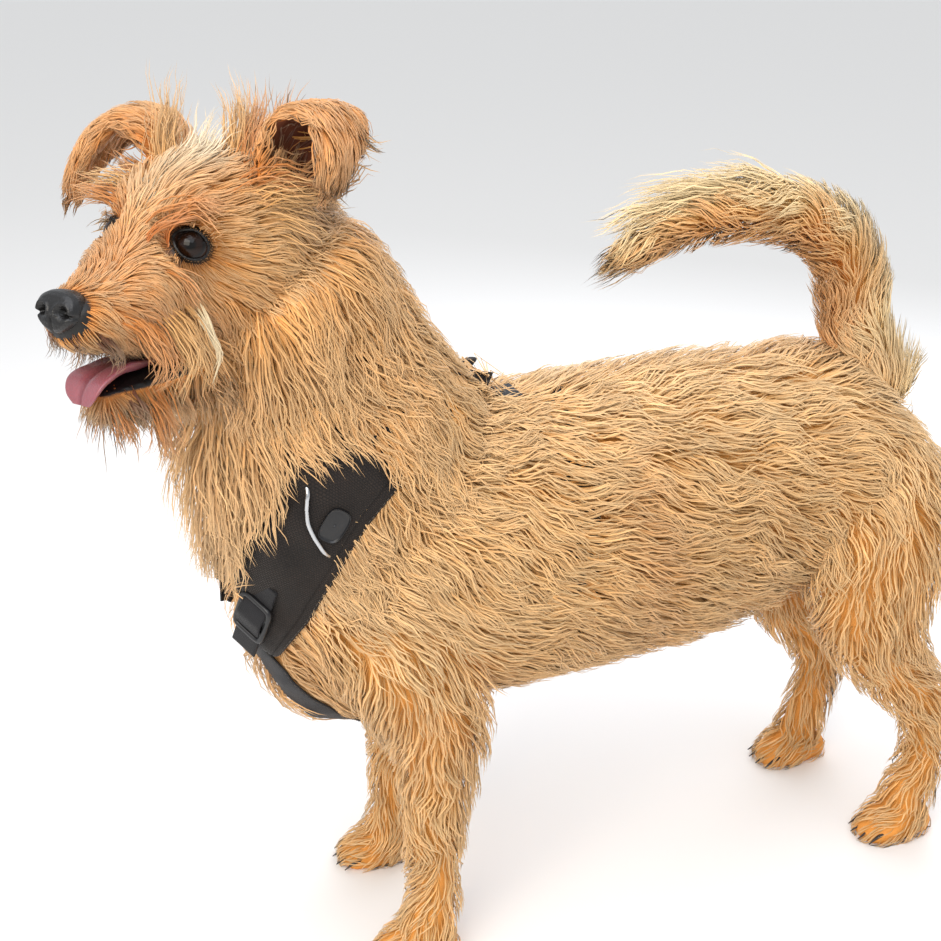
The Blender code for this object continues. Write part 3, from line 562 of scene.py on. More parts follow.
def shapeFace(places, normals):
    # Lids wrap the eyeballs, lips are rolled edges, and the soles lie flat on the floor.
    head = toHead(places)
    eye = skinSet["eye"]
    ring = np.full(len(places), 9.0)
    for sign in (1, -1):
        middle, axes = eyeAxes(sign)
        flat, far, local = inEye(head, sign)
        s = eyeRing(flat, sign)
        near = (local[:, 2] > -1) & (far < 26) & (s < 4)
        # Outside the rim the lid lies on the ball and runs out into the face; inside it drops behind.
        blend = 1 - eased(s, 1.25, 2.3)
        lid = eye["radius"] + eye["lidThick"] * (1 - eased(s, 1.0, 1.9) * 0.6)
        lid = np.where(s < 0.97, eye["radius"] - eye["behind"], lid)
        crease = -eye["crease"] * np.exp(-(((s - 1.62) / 0.13) ** 2)) * (local[:, 1] > 0)
        target = np.where(blend > 0, far + (lid - far) * blend + crease, far)
        moved = middle + (local / np.maximum(far, 1e-6)[:, None] * target[:, None]) @ axes.T
        head = np.where(near[:, None], moved, head)
        ring = np.where(near, np.minimum(ring, s), ring)
    lipAway = np.full(len(places), 99.0)
    close = (head[:, 0] > -30) & (np.abs(head[:, 1]) < 50) & (head[:, 2] < -35)
    for name in ("upperLip", "lowerLip"):
        away, _ = nearest(head[close], lipPoints(skinSet[name]))
        lipAway[close] = np.minimum(lipAway[close], away)
    roll = skinSet["lipRoll"] * np.exp(-((lipAway / skinSet["lipReach"]) ** 2))
    head = head + (normals @ headTurn) * roll[:, None]
    places = fromHead(head)
    places[:, 2] = np.maximum(places[:, 2], skinSet["sole"])
    return places, ring, lipAway


skinMesh = makeSkin()
skinPlaces, lidRing, lipAway = shapeFace(readVerts(skinMesh), readVerts(skinMesh, "normal"))
skinMesh.vertices.foreach_set("co", skinPlaces.ravel())
skinMesh.update()
print("skin shaped:", len(skinMesh.vertices), "points,", len(skinMesh.polygons), "faces")

# The harness lies where its CAD straps lie. line is a strap's middle, sink is how deep it lies in the coat,
# and over is how much of the coat lies over it, both from one end to the other. The right pad is the left
# one's mirror image.
straps = {
    "shoulder_pad": {
        "line": [
            (4, 12, 388), (-22, 42, 392), (-50, 64, 386), (-78, 72, 370), (-100, 72, 349),
            (-118, 61, 312), (-127, 50, 288), (-131, 38, 263), (-131, 26, 243),
        ],
        "width": 50, "taper": (0.6, 1, 1, 0.6), "thick": 4.6, "steps": 4, "crown": 3.4,
        "sink": (8, 8, 8, 8, 5, 1, 0, 0, 0), "over": (1, 1, 1, 1, 1, 0.45, 0.05, 0, 0, 0, 0, 0),
    },
    "chest_strap": {
        "line": [
            (-136, -8, 236), (-130, -24, 228), (-119, -35, 213), (-106, -35, 194),
            (-92, -24, 178), (-76, -10, 170), (-52, -2, 166), (-20, 0, 162), (28, 0, 164),
        ],
        "width": 25, "thick": 2.4, "steps": 6, "over": (0, 0, 0.1, 0.5, 0.9), "sink": (0, 0),
    },
    "back_strap": {
        "line": [(23, 0, 384), (31, 0, 379), (42, 0, 377)],
        "width": 25, "thick": 2.4, "steps": 3, "over": (0.6, 0.6), "sink": (3, 3),
    },
    # the girth is an ellipse round the trunk: its place at the top, its lean, its middle's height, its radii
    "girth_strap": {
        "at": 57, "lean": -12, "height": 273, "radii": (92, 106), "width": 25, "thick": 2.4, "sink": (6, 6),
        "over": (0.85, 0.95, 0.97, 0.97, 0.97, 0.97, 0.97, 0.95, 0.85),
    },
}
rayReach = 45  # how far outside a strap its rays start
gridShare = 0.44  # of a strap's width, from its middle to its grid's last column


def cadTree(*nodes):
    # A search tree over the outer faces of CAD nodes, in the tables' millimetres.
    points, faces = [], []
    for node in nodes:
        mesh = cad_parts[node].data
        start = len(points)
        points += (readVerts(mesh) / mm - shift).tolist()
        faces += [[start + v for v in polygon.vertices] for polygon in mesh.polygons]
    return BVHTree.FromPolygons(points, faces)


def strapLine(name, strap, sign):
    # The strap's middle line and its direction: a curve through its points, or the girth's ellipse.
    if "line" in strap:
        mirror = sign if name == "shoulder_pad" else 1
        line = smoothRows([(x, mirror * y, z) for x, y, z in strap["line"]], strap["steps"])
        return line, unit(np.gradient(line, axis=0))
    angle = fullTurn(40)
    wide, tall = strap["radii"]
    ahead = strap["at"] + strap["lean"] * (1 - np.cos(angle)) / 2
    line = np.stack([ahead, wide * np.sin(angle), strap["height"] + tall * np.cos(angle)], 1)
    return line, unit(np.roll(line, -1, 0) - np.roll(line, 1, 0))


def castStrap(name, sign, start, outward):
    # The strap's CAD face seen from outside each point. A ray that misses it, or only grazes it, gives no
    # number, except in the middle column, which takes the nearest place.
    tree = cadTree(f"harness_{name}" + ("" if name != "shoulder_pad" else "_left" if sign < 0 else "_right"))
    hits = []
    for row, way in zip(start, outward):
        for place, point in enumerate(row):
            hit, face, _, _ = tree.ray_cast(Vector(point + way * rayReach), Vector(-way), 2 * rayReach)
            if hit is None and place == len(row) // 2:
                hit = tree.find_nearest(Vector(point + way * 6))[0]
            elif hit is None or abs(face.dot(Vector(way))) < 0.4:
                hit = (np.nan,) * 3
            hits.append(tuple(hit))
    return np.array(hits).reshape(start.shape)


def strapGrid(name, strap, sign=-1, columns=7, fine=4):
    # The strap's outer face as a grid: rays are sent inwards at its CAD node from points beside its middle
    # line, and the hits are joined by Catmull-Rom curves.
    line, along = strapLine(name, strap, sign)
    ahead = np.interp(line[:, 0], (-150, -60, 60), (-75, -50, 60))  # the body's middle, inside the strap
    middle = np.stack([ahead, np.zeros(len(line)), np.full(len(line), 285.0)], 1)
    outward = line - middle
    outward = unit(outward - dots(outward, along) * along)
    across = np.cross(along, outward)
    offsets = np.linspace(-gridShare, gridShare, columns) * strap["width"]
    taper = np.interp(np.linspace(0, 1, len(line)), (0, 0.25, 0.8, 1), strap.get("taper", (1, 1, 1, 1)))
    start = line[:, None] + (offsets[None] * taper[:, None])[..., None] * across[:, None]
    outer = castStrap(name, sign, start, outward)
    half = columns // 2
    pace = (offsets[1] - offsets[0]) * taper[:, None]
    for far in range(1, half + 1):  # a column that missed the strap carries on from the two nearer its middle
        for way in (1, -1):
            before, here = outer[:, half + way * (far - 1)], outer[:, half + way * far]
            step = pace * way * across if far == 1 else before - outer[:, half + way * (far - 2)]
            outer[:, half + way * far] = np.where(np.isnan(here), before + step, here)
    if "line" not in strap:
        outer = np.vstack([outer, outer[:1]])
        outward = np.vstack([outward, outward[:1]])
    rows = smoothRows(np.hstack([outer.reshape(len(outer), -1), outward]), fine)
    outer = rows[:, :-3].reshape(len(rows), columns, 3)
    for _ in range(3):
        outer[1:-1] = (outer[:-2] + 2 * outer[1:-1] + outer[2:]) / 4
    normal = unit(np.cross(np.gradient(outer, axis=1), np.gradient(outer, axis=0)))
    normal *= np.sign(dots(normal, rows[:, None, -3:]))
    share = np.linspace(0, 1, len(outer))
    sink, over = (np.interp(share, np.linspace(0, 1, len(strap[k])), strap[k]) for k in ("sink", "over"))
    return {"outer": outer - normal * sink[:, None, None], "normal": normal, "thick": strap["thick"],
            "crown": strap.get("crown", 0.9), "over": over}


strapGrids = {name: strapGrid(name, strap) for name, strap in straps.items() if name != "shoulder_pad"}
for sign, side in ((-1, "left"), (1, "right")):
    strapGrids[f"shoulder_pad_{side}"] = strapGrid("shoulder_pad", straps["shoulder_pad"], sign)
print("straps laid")

# What the coat does on each part: lie is its shares of along, down and out; length and cling are at the side,
# above and below; then a lock's width, the size and the length of its waves, and how far gravity bends it.
legCoat = {"lie": (1, 0.1, 0), "cling": (1, 1, 0.75), "width": 1.35, "curl": 1.9, "wave": 24, "fall": 0.1}
partCoats = {
    "trunk": {"lie": (-1, 0.42, 0), "length": (40, 36, 42), "cling": (1, 1, 0.9),
              "width": 1.4, "curl": 2.4, "wave": 28, "fall": 0.1},
    "neck": {"lie": (-1, 0.2, 0), "length": (44, 38, 60), "cling": (0.85, 1, 0.5),
             "width": 1.35, "curl": 3.4, "wave": 28, "fall": 0.35},
    "tail": {"lie": (1, 0, 0.3), "length": (36, 42, 28), "cling": (0.6, 0.45, 0.8),
             "width": 1.15, "curl": 1.3, "wave": 34, "fall": 0.1},
    "foreLeg": {**legCoat, "length": (26, 22, 32)},
    "hindLeg": {**legCoat, "length": (28, 26, 32)},
    "Paw": {"lie": (1, 0.1, 0), "length": (11, 12, 9), "cling": (1, 1, 1),
            "width": 1.3, "curl": 0.4, "wave": 20, "fall": 0.1},
}
# outer and hollow are the hair's depth and length on the ear's two faces, off is how far from its middle
earCoat = {"reach": 4.5, "width": 1.15, "curl": 1.2, "wave": 26, "fall": 0.25, "off": 2.3,
           "outer": (5.5, 24), "hollow": (3, 13), "farHollow": 0.4}
partReach, headReach = 9, 11  # how far a sample of the coat counts, in millimetres
headWeight, headFine = 12, 0.88  # how much the head's own samples count, and how fine its locks are
fieldNames = ["depth", "length", "width", "curl", "wave", "cling", "fall", "outer", "inEar",
              "onTrunk", "onNeck", "onHead", "onEar", "onTail", "onLeg"]
column = {name: i for i, name in enumerate(fieldNames)}
owners = {"trunk": "onTrunk", "neck": "onNeck", "tail": "onTail"}
# The lie of the coat on the head's left side, in its axes: place, direction, length, depth, width, curl,
# cling, fall.
headLie = [
    ((58, 0, -17), (-1, 0, 0.2), 7, 2.6, 0.9, 0.3, 1, 0),
    ((58, 10, -20), (-1, 0.5, 0.1), 9, 2.8, 0.9, 0.3, 1, 0),
    ((60, 14, -32), (-0.8, 0.5, -0.5), 11, 3, 0.9, 0.4, 0.9, 0),
    ((60, 9, -43), (-0.3, 0.3, -0.9), 9, 3.5, 0.8, 0.5, 0.7, 0),
    ((50, 13, -46), (-0.35, 0.3, -0.9), 14, 4, 0.9, 0.8, 0.35, 0.1),
    ((46, 0, -16), (-1, 0, 0.2), 12, 4, 1.0, 0.5, 1, 0),
    ((46, 13, -20), (-1, 0.5, -0.1), 16, 4.5, 1.0, 0.9, 0.9, 0),
    ((46, 19, -32), (-0.8, 0.25, -0.5), 22, 6, 1.1, 1.3, 0.65, 0.15),
    ((44, 18, -43), (-0.5, 0.25, -0.85), 22, 7, 1.1, 1.6, 0.25, 0.3),
    ((28, 0, -6), (-1, 0, 0.3), 14, 5, 1.1, 0.7, 1, 0),
    ((28, 15, -10), (-0.9, 0.5, -0.1), 20, 6, 1.1, 1, 0.9, 0),
    ((28, 23, -26), (-0.75, 0.25, -0.6), 29, 8, 1.2, 1.7, 0.5, 0.2),
    ((26, 23, -42), (-0.4, 0.2, -0.9), 31, 9, 1.2, 2.2, 0.15, 0.35),
    ((12, 9, 4), (-0.6, 0.3, 0.8), 13, 4, 0.9, 0.6, 1, 0),
    ((12, 21, -4), (-0.6, 0.7, -0.3), 13, 2.5, 0.9, 0.7, 1, 0),
    ((12, 17, 3), (-0.5, 0.5, 0.6), 10, 2, 0.9, 0.5, 1, 0),
    ((10, 27, -22), (-0.7, 0.2, -0.65), 32, 8, 1.2, 1.8, 0.55, 0.2),
    ((6, 27, -42), (-0.4, 0.15, -0.9), 33, 10, 1.2, 2.3, 0.15, 0.35),
    ((4, 0, 13), (-0.5, 0, 0.9), 17, 6, 1.1, 0.7, 0.7, 0),
    ((4, 11, 15), (-0.2, 0.6, 0.8), 18, 8, 1.1, 0.9, 0.5, 0),
    ((0, 21, 19), (-0.1, 0.9, 0.45), 19, 9, 1.1, 1.0, 0.45, 0),
    ((-12, 34, 14), (-0.8, 0.45, 0.1), 22, 8, 1.2, 1.1, 0.8, 0),
    ((2, 34, -10), (-0.66, 0.25, -0.72), 22, 5, 1.1, 1.0, 0.9, 0.05),
    ((-12, 38, -6), (-0.8, 0.15, -0.6), 26, 7, 1.2, 1.3, 0.9, 0.05),
    ((-12, 0, 30), (-0.8, 0, 0.6), 24, 9, 1.2, 1.2, 0.6, 0),
    ((-14, 16, 29), (-0.8, 0.35, 0.4), 24, 9, 1.2, 1.2, 0.7, 0),
    ((-38, 0, 43), (-0.95, 0, 0.3), 28, 11, 1.3, 1.5, 0.55, 0),
    ((-38, 22, 38), (-0.9, 0.2, 0.35), 26, 11, 1.3, 1.5, 0.6, 0),
    ((-56, 10, 42), (-0.7, 0.25, 0.8), 30, 13, 1.3, 1.5, 0.35, 0),
    ((-32, 40, 14), (-0.95, 0.1, -0.25), 28, 10, 1.3, 1.6, 0.85, 0),
    ((-28, 43, -16), (-0.68, 0.12, -0.7), 38, 12, 1.4, 1.9, 0.75, 0.15),
    ((-22, 38, -38), (-0.4, 0.12, -0.9), 46, 15, 1.4, 2.5, 0.4, 0.25),
    ((-44, 40, -42), (-0.5, 0.1, -0.85), 54, 20, 1.4, 3.0, 0.45, 0.25),
    ((-60, 44, 4), (-0.8, 0.1, -0.55), 46, 17, 1.4, 2.4, 0.6, 0.1),
    ((-60, 40, -24), (-0.6, 0.1, -0.8), 52, 20, 1.5, 3.0, 0.5, 0.2),
    ((-84, 20, 30), (-0.8, 0.1, -0.6), 44, 16, 1.5, 2.4, 0.6, 0.1),
    ((50, 5, -76), (0.1, 0.2, -1), 12, 5, 0.9, 0.9, 0.4, 0.1),
    ((38, 11, -73), (-0.3, 0.3, -1), 18, 7, 1.0, 1.3, 0.3, 0.2),
    ((22, 14, -70), (-0.4, 0.25, -1), 26, 10, 1.1, 1.8, 0.25, 0.3),
    ((24, 0, -78), (-0.3, 0, -1), 26, 14, 1.2, 1.7, 0.3, 0.3),
    ((0, 18, -68), (-0.5, 0.15, -0.9), 34, 13, 1.3, 2.1, 0.35, 0.3),
    ((-6, 0, -76), (-0.5, 0, -1), 38, 17, 1.4, 2.2, 0.4, 0.3),
    ((-22, 18, -72), (-0.5, 0.1, -0.9), 40, 16, 1.4, 2.3, 0.45, 0.3),
]


def coatSamples():
    # Rows of place, outward direction, lie, reach and field values, taken from the forms' own rings.
    places, outs, lies, reaches, fields = [], [], [], [], []

    def add(place, out, lie, reach, values):
        table = np.zeros((len(place), len(fieldNames)))
        for name, value in values.items():
            table[:, column[name]] = value
        for store, value in ((places, place), (outs, out), (lies, unit(lie)), (fields, table)):
            store.append(np.asarray(value, float))
        reaches.append(np.full(len(place), float(reach)))

    for name, grid in grids.items():
        if name in ("skull", "jaw"):
            continue  # the head's coat follows rows of its own, below
        coat = next(partCoats[part] for part in partCoats if part in name)
        pick = (slice(None, None, 2), slice(None, None, 2))
        place, out, along = (grid[k][pick].reshape(-1, 3) for k in ("points", "out", "along"))
        angle, depth = grid["angle"][pick].ravel(), grid["coat"][pick].ravel()
        up, side = np.maximum(np.sin(angle), 0), np.abs(np.cos(angle))
        below = np.maximum(-np.sin(angle), 0)
        mixed = {k: coat[k][0] * side**2 + coat[k][1] * up**2 + coat[k][2] * below**2
                 for k in ("length", "cling")}
        lie = coat["lie"][0] * along + coat["lie"][1] * np.array((0, 0, -1)) + coat["lie"][2] * out
        outer = np.sin(angle) if name == "tail" else 0
        add(place, out, lie, partReach, {
            "depth": depth, **mixed, owners.get(name, "onLeg"): 1, "outer": outer,
            **{k: coat[k] for k in ("width", "curl", "wave", "fall")}})
    for side, ear in ears.items():
        pick = (slice(4, None, 3), slice(None, None, 2))
        leaf, normal, along = (ear[k][pick].reshape(-1, 3) for k in ("leaf", "normal", "along"))
        across, share = ear["across"][pick].ravel(), ear["share"][pick].ravel()
        sideways = np.gradient(ear["leaf"], axis=1)[pick].reshape(-1, 3)
        hollow = 1 if side == "left" else earCoat["farHollow"]  # the far ear shows less of its hollow
        for face, (depth, length), inEar in ((1, earCoat["outer"], 0), (-1, earCoat["hollow"], hollow)):
            lie = unit(along) + 0.75 * across[:, None] ** 3 * unit(sideways) + 0.1 * face * normal
            add(leaf + face * normal * earCoat["off"], face * normal, lie, earCoat["reach"], {
                "depth": depth, "length": length * (1 - 0.1 * share), "onEar": 1, "inEar": inEar,
                "cling": np.where(share < 0.7, 0.8, 0.4),
                **{k: earCoat[k] for k in ("width", "curl", "wave", "fall")}})
    head = np.array([(*place, *way, *rest) for place, way, *rest in headLie])
    for sign in (1, -1):
        rows = head * np.array((1, sign, 1, 1, sign, 1, 1, 1, 1, 1, 1, 1))
        if sign < 0:
            rows = rows[np.abs(rows[:, 1]) > 0.1]
        ahead = rows[:, 0]
        core = np.stack([ahead.clip(-50, 30), 0 * ahead, -0.35 * ahead.clip(-20, 60) - 12], 1)
        out = unit((rows[:, :3] - core) @ headTurn.T)
        values = dict(zip(("length", "depth", "width", "curl", "cling", "fall"), rows[:, 6:].T))
        values["width"] = values["width"] * headFine
        add(fromHead(rows[:, :3]), out, rows[:, 3:6] @ headTurn.T, -headReach,
            {**values, "wave": 21, "onHead": 1})
    return [np.concatenate(x) for x in (places, outs, lies, reaches, fields)]


def coatField(places, normals):
    # Each value at a place is the mean of the samples', weighted by exp(-distance^2 / 2 reach^2) and by how
    # alike the two outward directions are. The head's own rows, with a negative reach, weigh more.
    samples, outs, lies, reaches, fields = (x.astype(np.float32) for x in coatSamples())
    places, normals = places.astype(np.float32), normals.astype(np.float32)
    values = np.hstack([lies, fields])
    reach, strong = np.abs(reaches), np.where(reaches < 0, np.float32(headWeight), np.float32(1))
    result = np.empty((len(places), values.shape[1]))
    size = (samples**2).sum(1)
    for i in range(0, len(places), 3000):
        part = slice(i, i + 3000)
        square = (places[part] ** 2).sum(1)[:, None] + size - 2 * places[part] @ samples.T
        facing = np.clip(normals[part] @ outs.T + 0.15, 0.002, 1) ** 2
        weight = np.exp(-square / (2 * reach**2)) * strong * facing + np.float32(1e-12) / square.clip(1) ** 2
        result[part] = weight @ values / weight.sum(1)[:, None]
    return result


def neighbourTable(mesh, most=9):
    # For each point of a mesh the points that share an edge with it, filled up with itself.
    edges = np.empty(2 * len(mesh.edges), int)
    mesh.edges.foreach_get("vertices", edges)
    pairs = edges.reshape(-1, 2)
    pairs = np.vstack([pairs, pairs[:, ::-1]])
    pairs = pairs[np.argsort(pairs[:, 0], kind="stable")]
    start = np.searchsorted(pairs[:, 0], np.arange(len(mesh.vertices)))
    rank = np.arange(len(pairs)) - start[pairs[:, 0]]
    table = np.repeat(np.arange(len(mesh.vertices))[:, None], most, 1)
    keep = rank < most
    table[pairs[keep, 0], rank[keep]] = pairs[keep, 1]
    return table


def spreadOut(values, table, times):
    # Each point takes the mean of its neighbours and itself, this many times.
    for _ in range(times):
        values = (values[table].sum(1) + values) / (table.shape[1] + 1)
    return values


skinNormals = readVerts(skinMesh, "normal")
around = neighbourTable(skinMesh)
smoothNormals = unit(spreadOut(skinNormals, around, 4))
field = coatField(skinPlaces, smoothNormals)
lie = field[:, :3] - dots(field[:, :3], smoothNormals) * smoothNormals
lie = unit(spreadOut(unit(lie), around, 3))
field = spreadOut(field[:, 3:], around, 3)
# Round each eye the hair points away from it and is shorter.
headSkin = toHead(skinPlaces)
for sign in (1, -1):
    middle, axes = eyeAxes(sign)
    away = skinPlaces - fromHead(middle)
    away = unit(away - dots(away, smoothNormals) * smoothNormals)
    byEye = np.where(np.linalg.norm(headSkin - middle, axis=1) < 30, 1 - eased(lidRing, 1.3, 2.8), 0)[:, None]
    lie = unit(lie * (1 - 0.75 * byEye) + away * 0.75 * byEye)
    field[:, [1, 2, 3]] *= 1 - 0.55 * byEye
fieldAt = {name: field[:, i] for name, i in column.items()}
print("coat field made")

# The markings, with the painted shade laid among them, are the same for the skin and the coat.
palette = {
    "gold": "#dba565", "sand": "#ecc28c", "cream": "#f2dcb4", "straw": "#f8d9a2", "pale": "#ecd8b6",
    "ginger": "#c97f3c", "rust": "#b06a2e", "fox": "#c06f2a", "umber": "#66381c", "stain": "#84502a",
    "maroon": "#4c1f19", "black": "#0d0a08",
}
# Each mark: middle, three radii, colour, strength; those of the head are in its axes, on both sides. Three
# marks are painted shade, noted where they stand.
bodyMarksAndShade = [
    ((150, 0, 365), (190, 70, 45), "sand", 0.7), ((300, 0, 330), (60, 70, 50), "sand", 0.6),
    ((-40, 0, 350), (60, 70, 60), "gold", 0.6), ((-90, -10, 400), (40, 55, 60), "ginger", 0.45),
    ((-135, -12, 330), (40, 60, 75), "cream", 0.3), ((-120, -8, 235), (40, 60, 40), "ginger", 0.35),
    # painted shade: the ginger mark first on the next line darkens the front of the chest, where shade falls
    # below the head
    ((-150, -20, 320), (40, 60, 60), "ginger", 0.4), ((-60, -70, 262), (45, 30, 45), "sand", 0.5),
    ((78, -70, 300), (20, 34, 70), "ginger", 0.45), ((78, 70, 300), (20, 34, 70), "ginger", 0.45),
    # painted shade: the rust mark first on the next line darkens the underside of the trunk, where shade
    # falls under the body
    ((60, 0, 190), (190, 80, 36), "rust", 0.4), ((300, 0, 250), (50, 25, 70), "cream", 0.4),
    ((-40, 0, 100), (60, 60, 110), "sand", 0.35),
]
headMarksAndShade = [
    ((-30, 0, 0), (75, 60, 60), "ginger", 0.85), ((-55, 40, -30), (40, 22, 40), "gold", 0.55),
    ((-26, 40, 6), (30, 14, 20), "gold", 0.6), ((0, 0, 6), (12, 7, 14), "pale", 0.75),
    ((-18, 0, 32), (22, 11, 14), "pale", 0.85), ((-46, 0, 46), (26, 14, 14), "pale", 0.75),
    ((4, 13, 8), (8, 6, 8), "fox", 0.9), ((-4, 22, 20), (10, 9, 7), "ginger", 0.7),
    ((36, 0, -10), (28, 14, 14), "fox", 0.5), ((34, 22, -30), (28, 10, 16), "fox", 0.8),
    ((62, 10, -42), (12, 9, 8), "stain", 0.45), ((8, 30, -30), (14, 8, 14), "fox", 0.6),
    ((40, 10, -76), (14, 12, 8), "stain", 0.9), ((22, 17, -68), (16, 8, 8), "stain", 0.75),
    ((0, 22, -62), (12, 9, 8), "fox", 0.6), ((-70, 0, 35), (26, 26, 18), "gold", 0.5),
    ((42, 0, -22), (30, 32, 22), "rust", 0.65), ((4, 28, 2), (11, 11, 10), "umber", 0.8),
    # painted shade: the umber mark on the next line darkens the hollow before the ear's base, where shade
    # falls under the ear
    ((-54, 36, 22), (12, 12, 12), "umber", 0.7),
]


def ripple(points, size, seed, count=7):
    # A smooth random field between about -1 and 1: the mean of sines along random directions, with waves
    # about this long.
    draw = np.random.default_rng(seed)
    waves = unit(draw.normal(size=(count, 3))) * (2 * np.pi / (size * draw.uniform(0.7, 1.6, (count, 1))))
    return np.sin(points @ waves.T + draw.uniform(0, 6.3, count)).mean(1) * 1.8


def markingsAndShade(points, outer, onEar, inEar):
    # Base gold, then each mark laid over it with strength exp(-(distance / radii)^2); a few of the marks are
    # painted shade.
    tones = {name: linear(code) for name, code in palette.items()}
    colour = np.tile(tones["gold"], (len(points), 1))

    def lay(amount, tone):
        colour[:] += (tones[tone] - colour) * np.clip(amount, 0, 1)[:, None]

    warped = points + 6 * np.stack([ripple(points, 38, s) for s in (1, 2, 3)], 1)
    for middle, radii, tone, strength in bodyMarksAndShade:
        lay(strength * np.exp(-(((warped - middle) / radii) ** 2).sum(1)), tone)
    head = toHead(warped * 0.35 + points * 0.65)
    onHead = eased(head[:, 0], -125, -90) * (points[:, 2] > 370) * (points[:, 0] < -60)
    for middle, radii, tone, strength in headMarksAndShade:
        sided = np.stack([head[:, 0], np.abs(head[:, 1]) if middle[1] else head[:, 1], head[:, 2]], 1)
        lay(onHead * strength * np.exp(-(((sided - middle) / radii) ** 2).sum(1)), tone)
    lay(eased(outer, -0.2, 0.8) * 0.9, "straw")
    lay(eased(-outer, 0.0, 0.9) * 0.6, "ginger")
    lay(onEar * (1 - inEar) * 0.75, "ginger")
    lay(onEar * inEar * 0.95, "maroon")
    return colour


# Locks of hair grow on the skin, and each piece of the coat has a part of it.
ownerNames = ("onTrunk", "onNeck", "onHead", "onEar", "onTail", "onLeg")
owner = np.argmax(np.stack([fieldAt[k] for k in ownerNames], 1), 1)


def mouthInside(head):
    # Inside the mouth: between the edges of the two lips and within their width.
    upper, lower = smoothRows(skinSet["upperLip"], 8)[::-1], smoothRows(skinSet["lowerLip"], 8)[::-1]
    ahead = head[:, 0]
    top, bottom = np.interp(ahead, upper[:, 0], upper[:, 2]), np.interp(ahead, lower[:, 0], lower[:, 2])
    wide = np.interp(ahead, upper[:, 0], upper[:, 1])
    between = (head[:, 2] < top + 2.5) & (head[:, 2] > bottom - 2)
    return (ahead > -12) & (ahead < 66) & between & (np.abs(head[:, 1]) < wide + 0.5)


inMouth = mouthInside(headSkin) & (fieldAt["onHead"] > 0.5)
# Bare: the lids, the lips, the mouth, the soles and the nose.
bare = (lidRing < 1.03) | (lipAway < 2.4) | inMouth | (skinPlaces[:, 2] < 3)
bare |= np.linalg.norm((headSkin - (64, 0, -29)) / (13, 15.5, 13), axis=1) < 1
growth = np.where(bare, 0.0, 1.0) * np.where(fieldAt["inEar"] > 0.5, 0.1, 1.0)
# The locks of the muzzle and round the eyes are smaller and closer.
growth *= 1 + 1.6 * eased(headSkin[:, 0], -5, 20) * (owner == 2) + 2.5 * (1 - eased(lidRing, 1.6, 2.6))
side = np.where(skinPlaces[:, 1] < 0, 0, 1)
headSideOf = np.where(headSkin[:, 1] > 0, 0, 1)
fore = skinPlaces[:, 0] < 92

# Each piece of coat: which skin it grows on, its material slot, how many locks, and rings along a lock.
coatPieces = {
    "coatShoulderLeft": ((owner == 0) & fore & (side == 0), "golden_coat", 4300, 6),
    "coatShoulderRight": ((owner == 0) & fore & (side == 1), "golden_coat", 3000, 5),
    "coatFlankLeft": ((owner == 0) & ~fore & (side == 0), "golden_coat", 4300, 6),
    "coatFlankRight": ((owner == 0) & ~fore & (side == 1), "golden_coat", 3000, 5),
    "coatNeckLeft": ((owner == 1) & (skinPlaces[:, 1] < -10), "golden_coat", 4200, 6),
    "coatNeckRight": ((owner == 1) & (skinPlaces[:, 1] >= -10), "golden_coat", 3300, 6),
    "coatHeadLeft": ((owner == 2) & (headSideOf == 0), "ginger_coat", 6900, 5),
    "coatHeadRight": ((owner == 2) & (headSideOf == 1), "ginger_coat", 4600, 5),
    "coatEars": (owner == 3, "ginger_coat", 4100, 5),
    "coatTail": (owner == 4, "cream_coat", 3800, 5),
    "coatForeLegs": ((owner == 5) & (skinPlaces[:, 0] < 130), "golden_coat", 3900, 4),
    "coatHindLegs": ((owner == 5) & (skinPlaces[:, 0] >= 130), "golden_coat", 4100, 4),
}
lockSet = {
    "gather": 0.6, "clumpEvery": 8, "swirl": 24, "stray": 8, "loose": 0.14, "reach": (0.5, 1.02),
    "flat": 0.55, "round": 0.75, "rootDark": (1.1, 0.85, 0.46), "tipLight": 0.27, "vary": 0.14,
    "lengthVary": 0.22, "curlVary": 0.4, "lift": 0.45, "patch": 0.003,
}

skinMesh.calc_loop_triangles()
corners = np.empty(3 * len(skinMesh.loop_triangles), int)
skinMesh.loop_triangles.foreach_get("vertices", corners)
corners = corners.reshape(-1, 3)
spans = skinPlaces[corners[:, 1:]] - skinPlaces[corners[:, :1]]
triangleArea = np.linalg.norm(np.cross(spans[:, 0], spans[:, 1]), axis=1) / 2


def sowRoots(where, count):
    # Roots spread evenly over the chosen skin: equal steps through the running sum of area times growth.
    share = triangleArea * (growth * where)[corners].mean(1)
    total = np.cumsum(share)
    picks = (np.arange(count) + rng.uniform(0, 1, count)) / count * total[-1]
    chosen = corners[np.searchsorted(total, picks).clip(0, len(total) - 1)]
    mix = rng.dirichlet((1, 1, 1), count)
    return (skinPlaces[chosen] * mix[..., None]).sum(1), chosen[np.arange(count), mix.argmax(1)]


def stepOver(place, at):
    # The skin point nearest to each place, found by walking from neighbour to neighbour, and the place
    # dropped onto the skin there.
    for _ in range(4):
        near = np.hstack([at[:, None], around[at]])
        square = ((skinPlaces[near] - place[:, None]) ** 2).sum(-1)
        at = near[np.arange(len(at)), square.argmin(1)]
    near = np.hstack([at[:, None], around[at]])
    weight = np.exp(-((skinPlaces[near] - place[:, None]) ** 2).sum(-1) / 14)[..., None]
    base = (skinPlaces[near] * weight).sum(1) / weight.sum(1)
    normal = unit((smoothNormals[near] * weight).sum(1))
    return place - dots(place - base, normal) * normal, at, normal


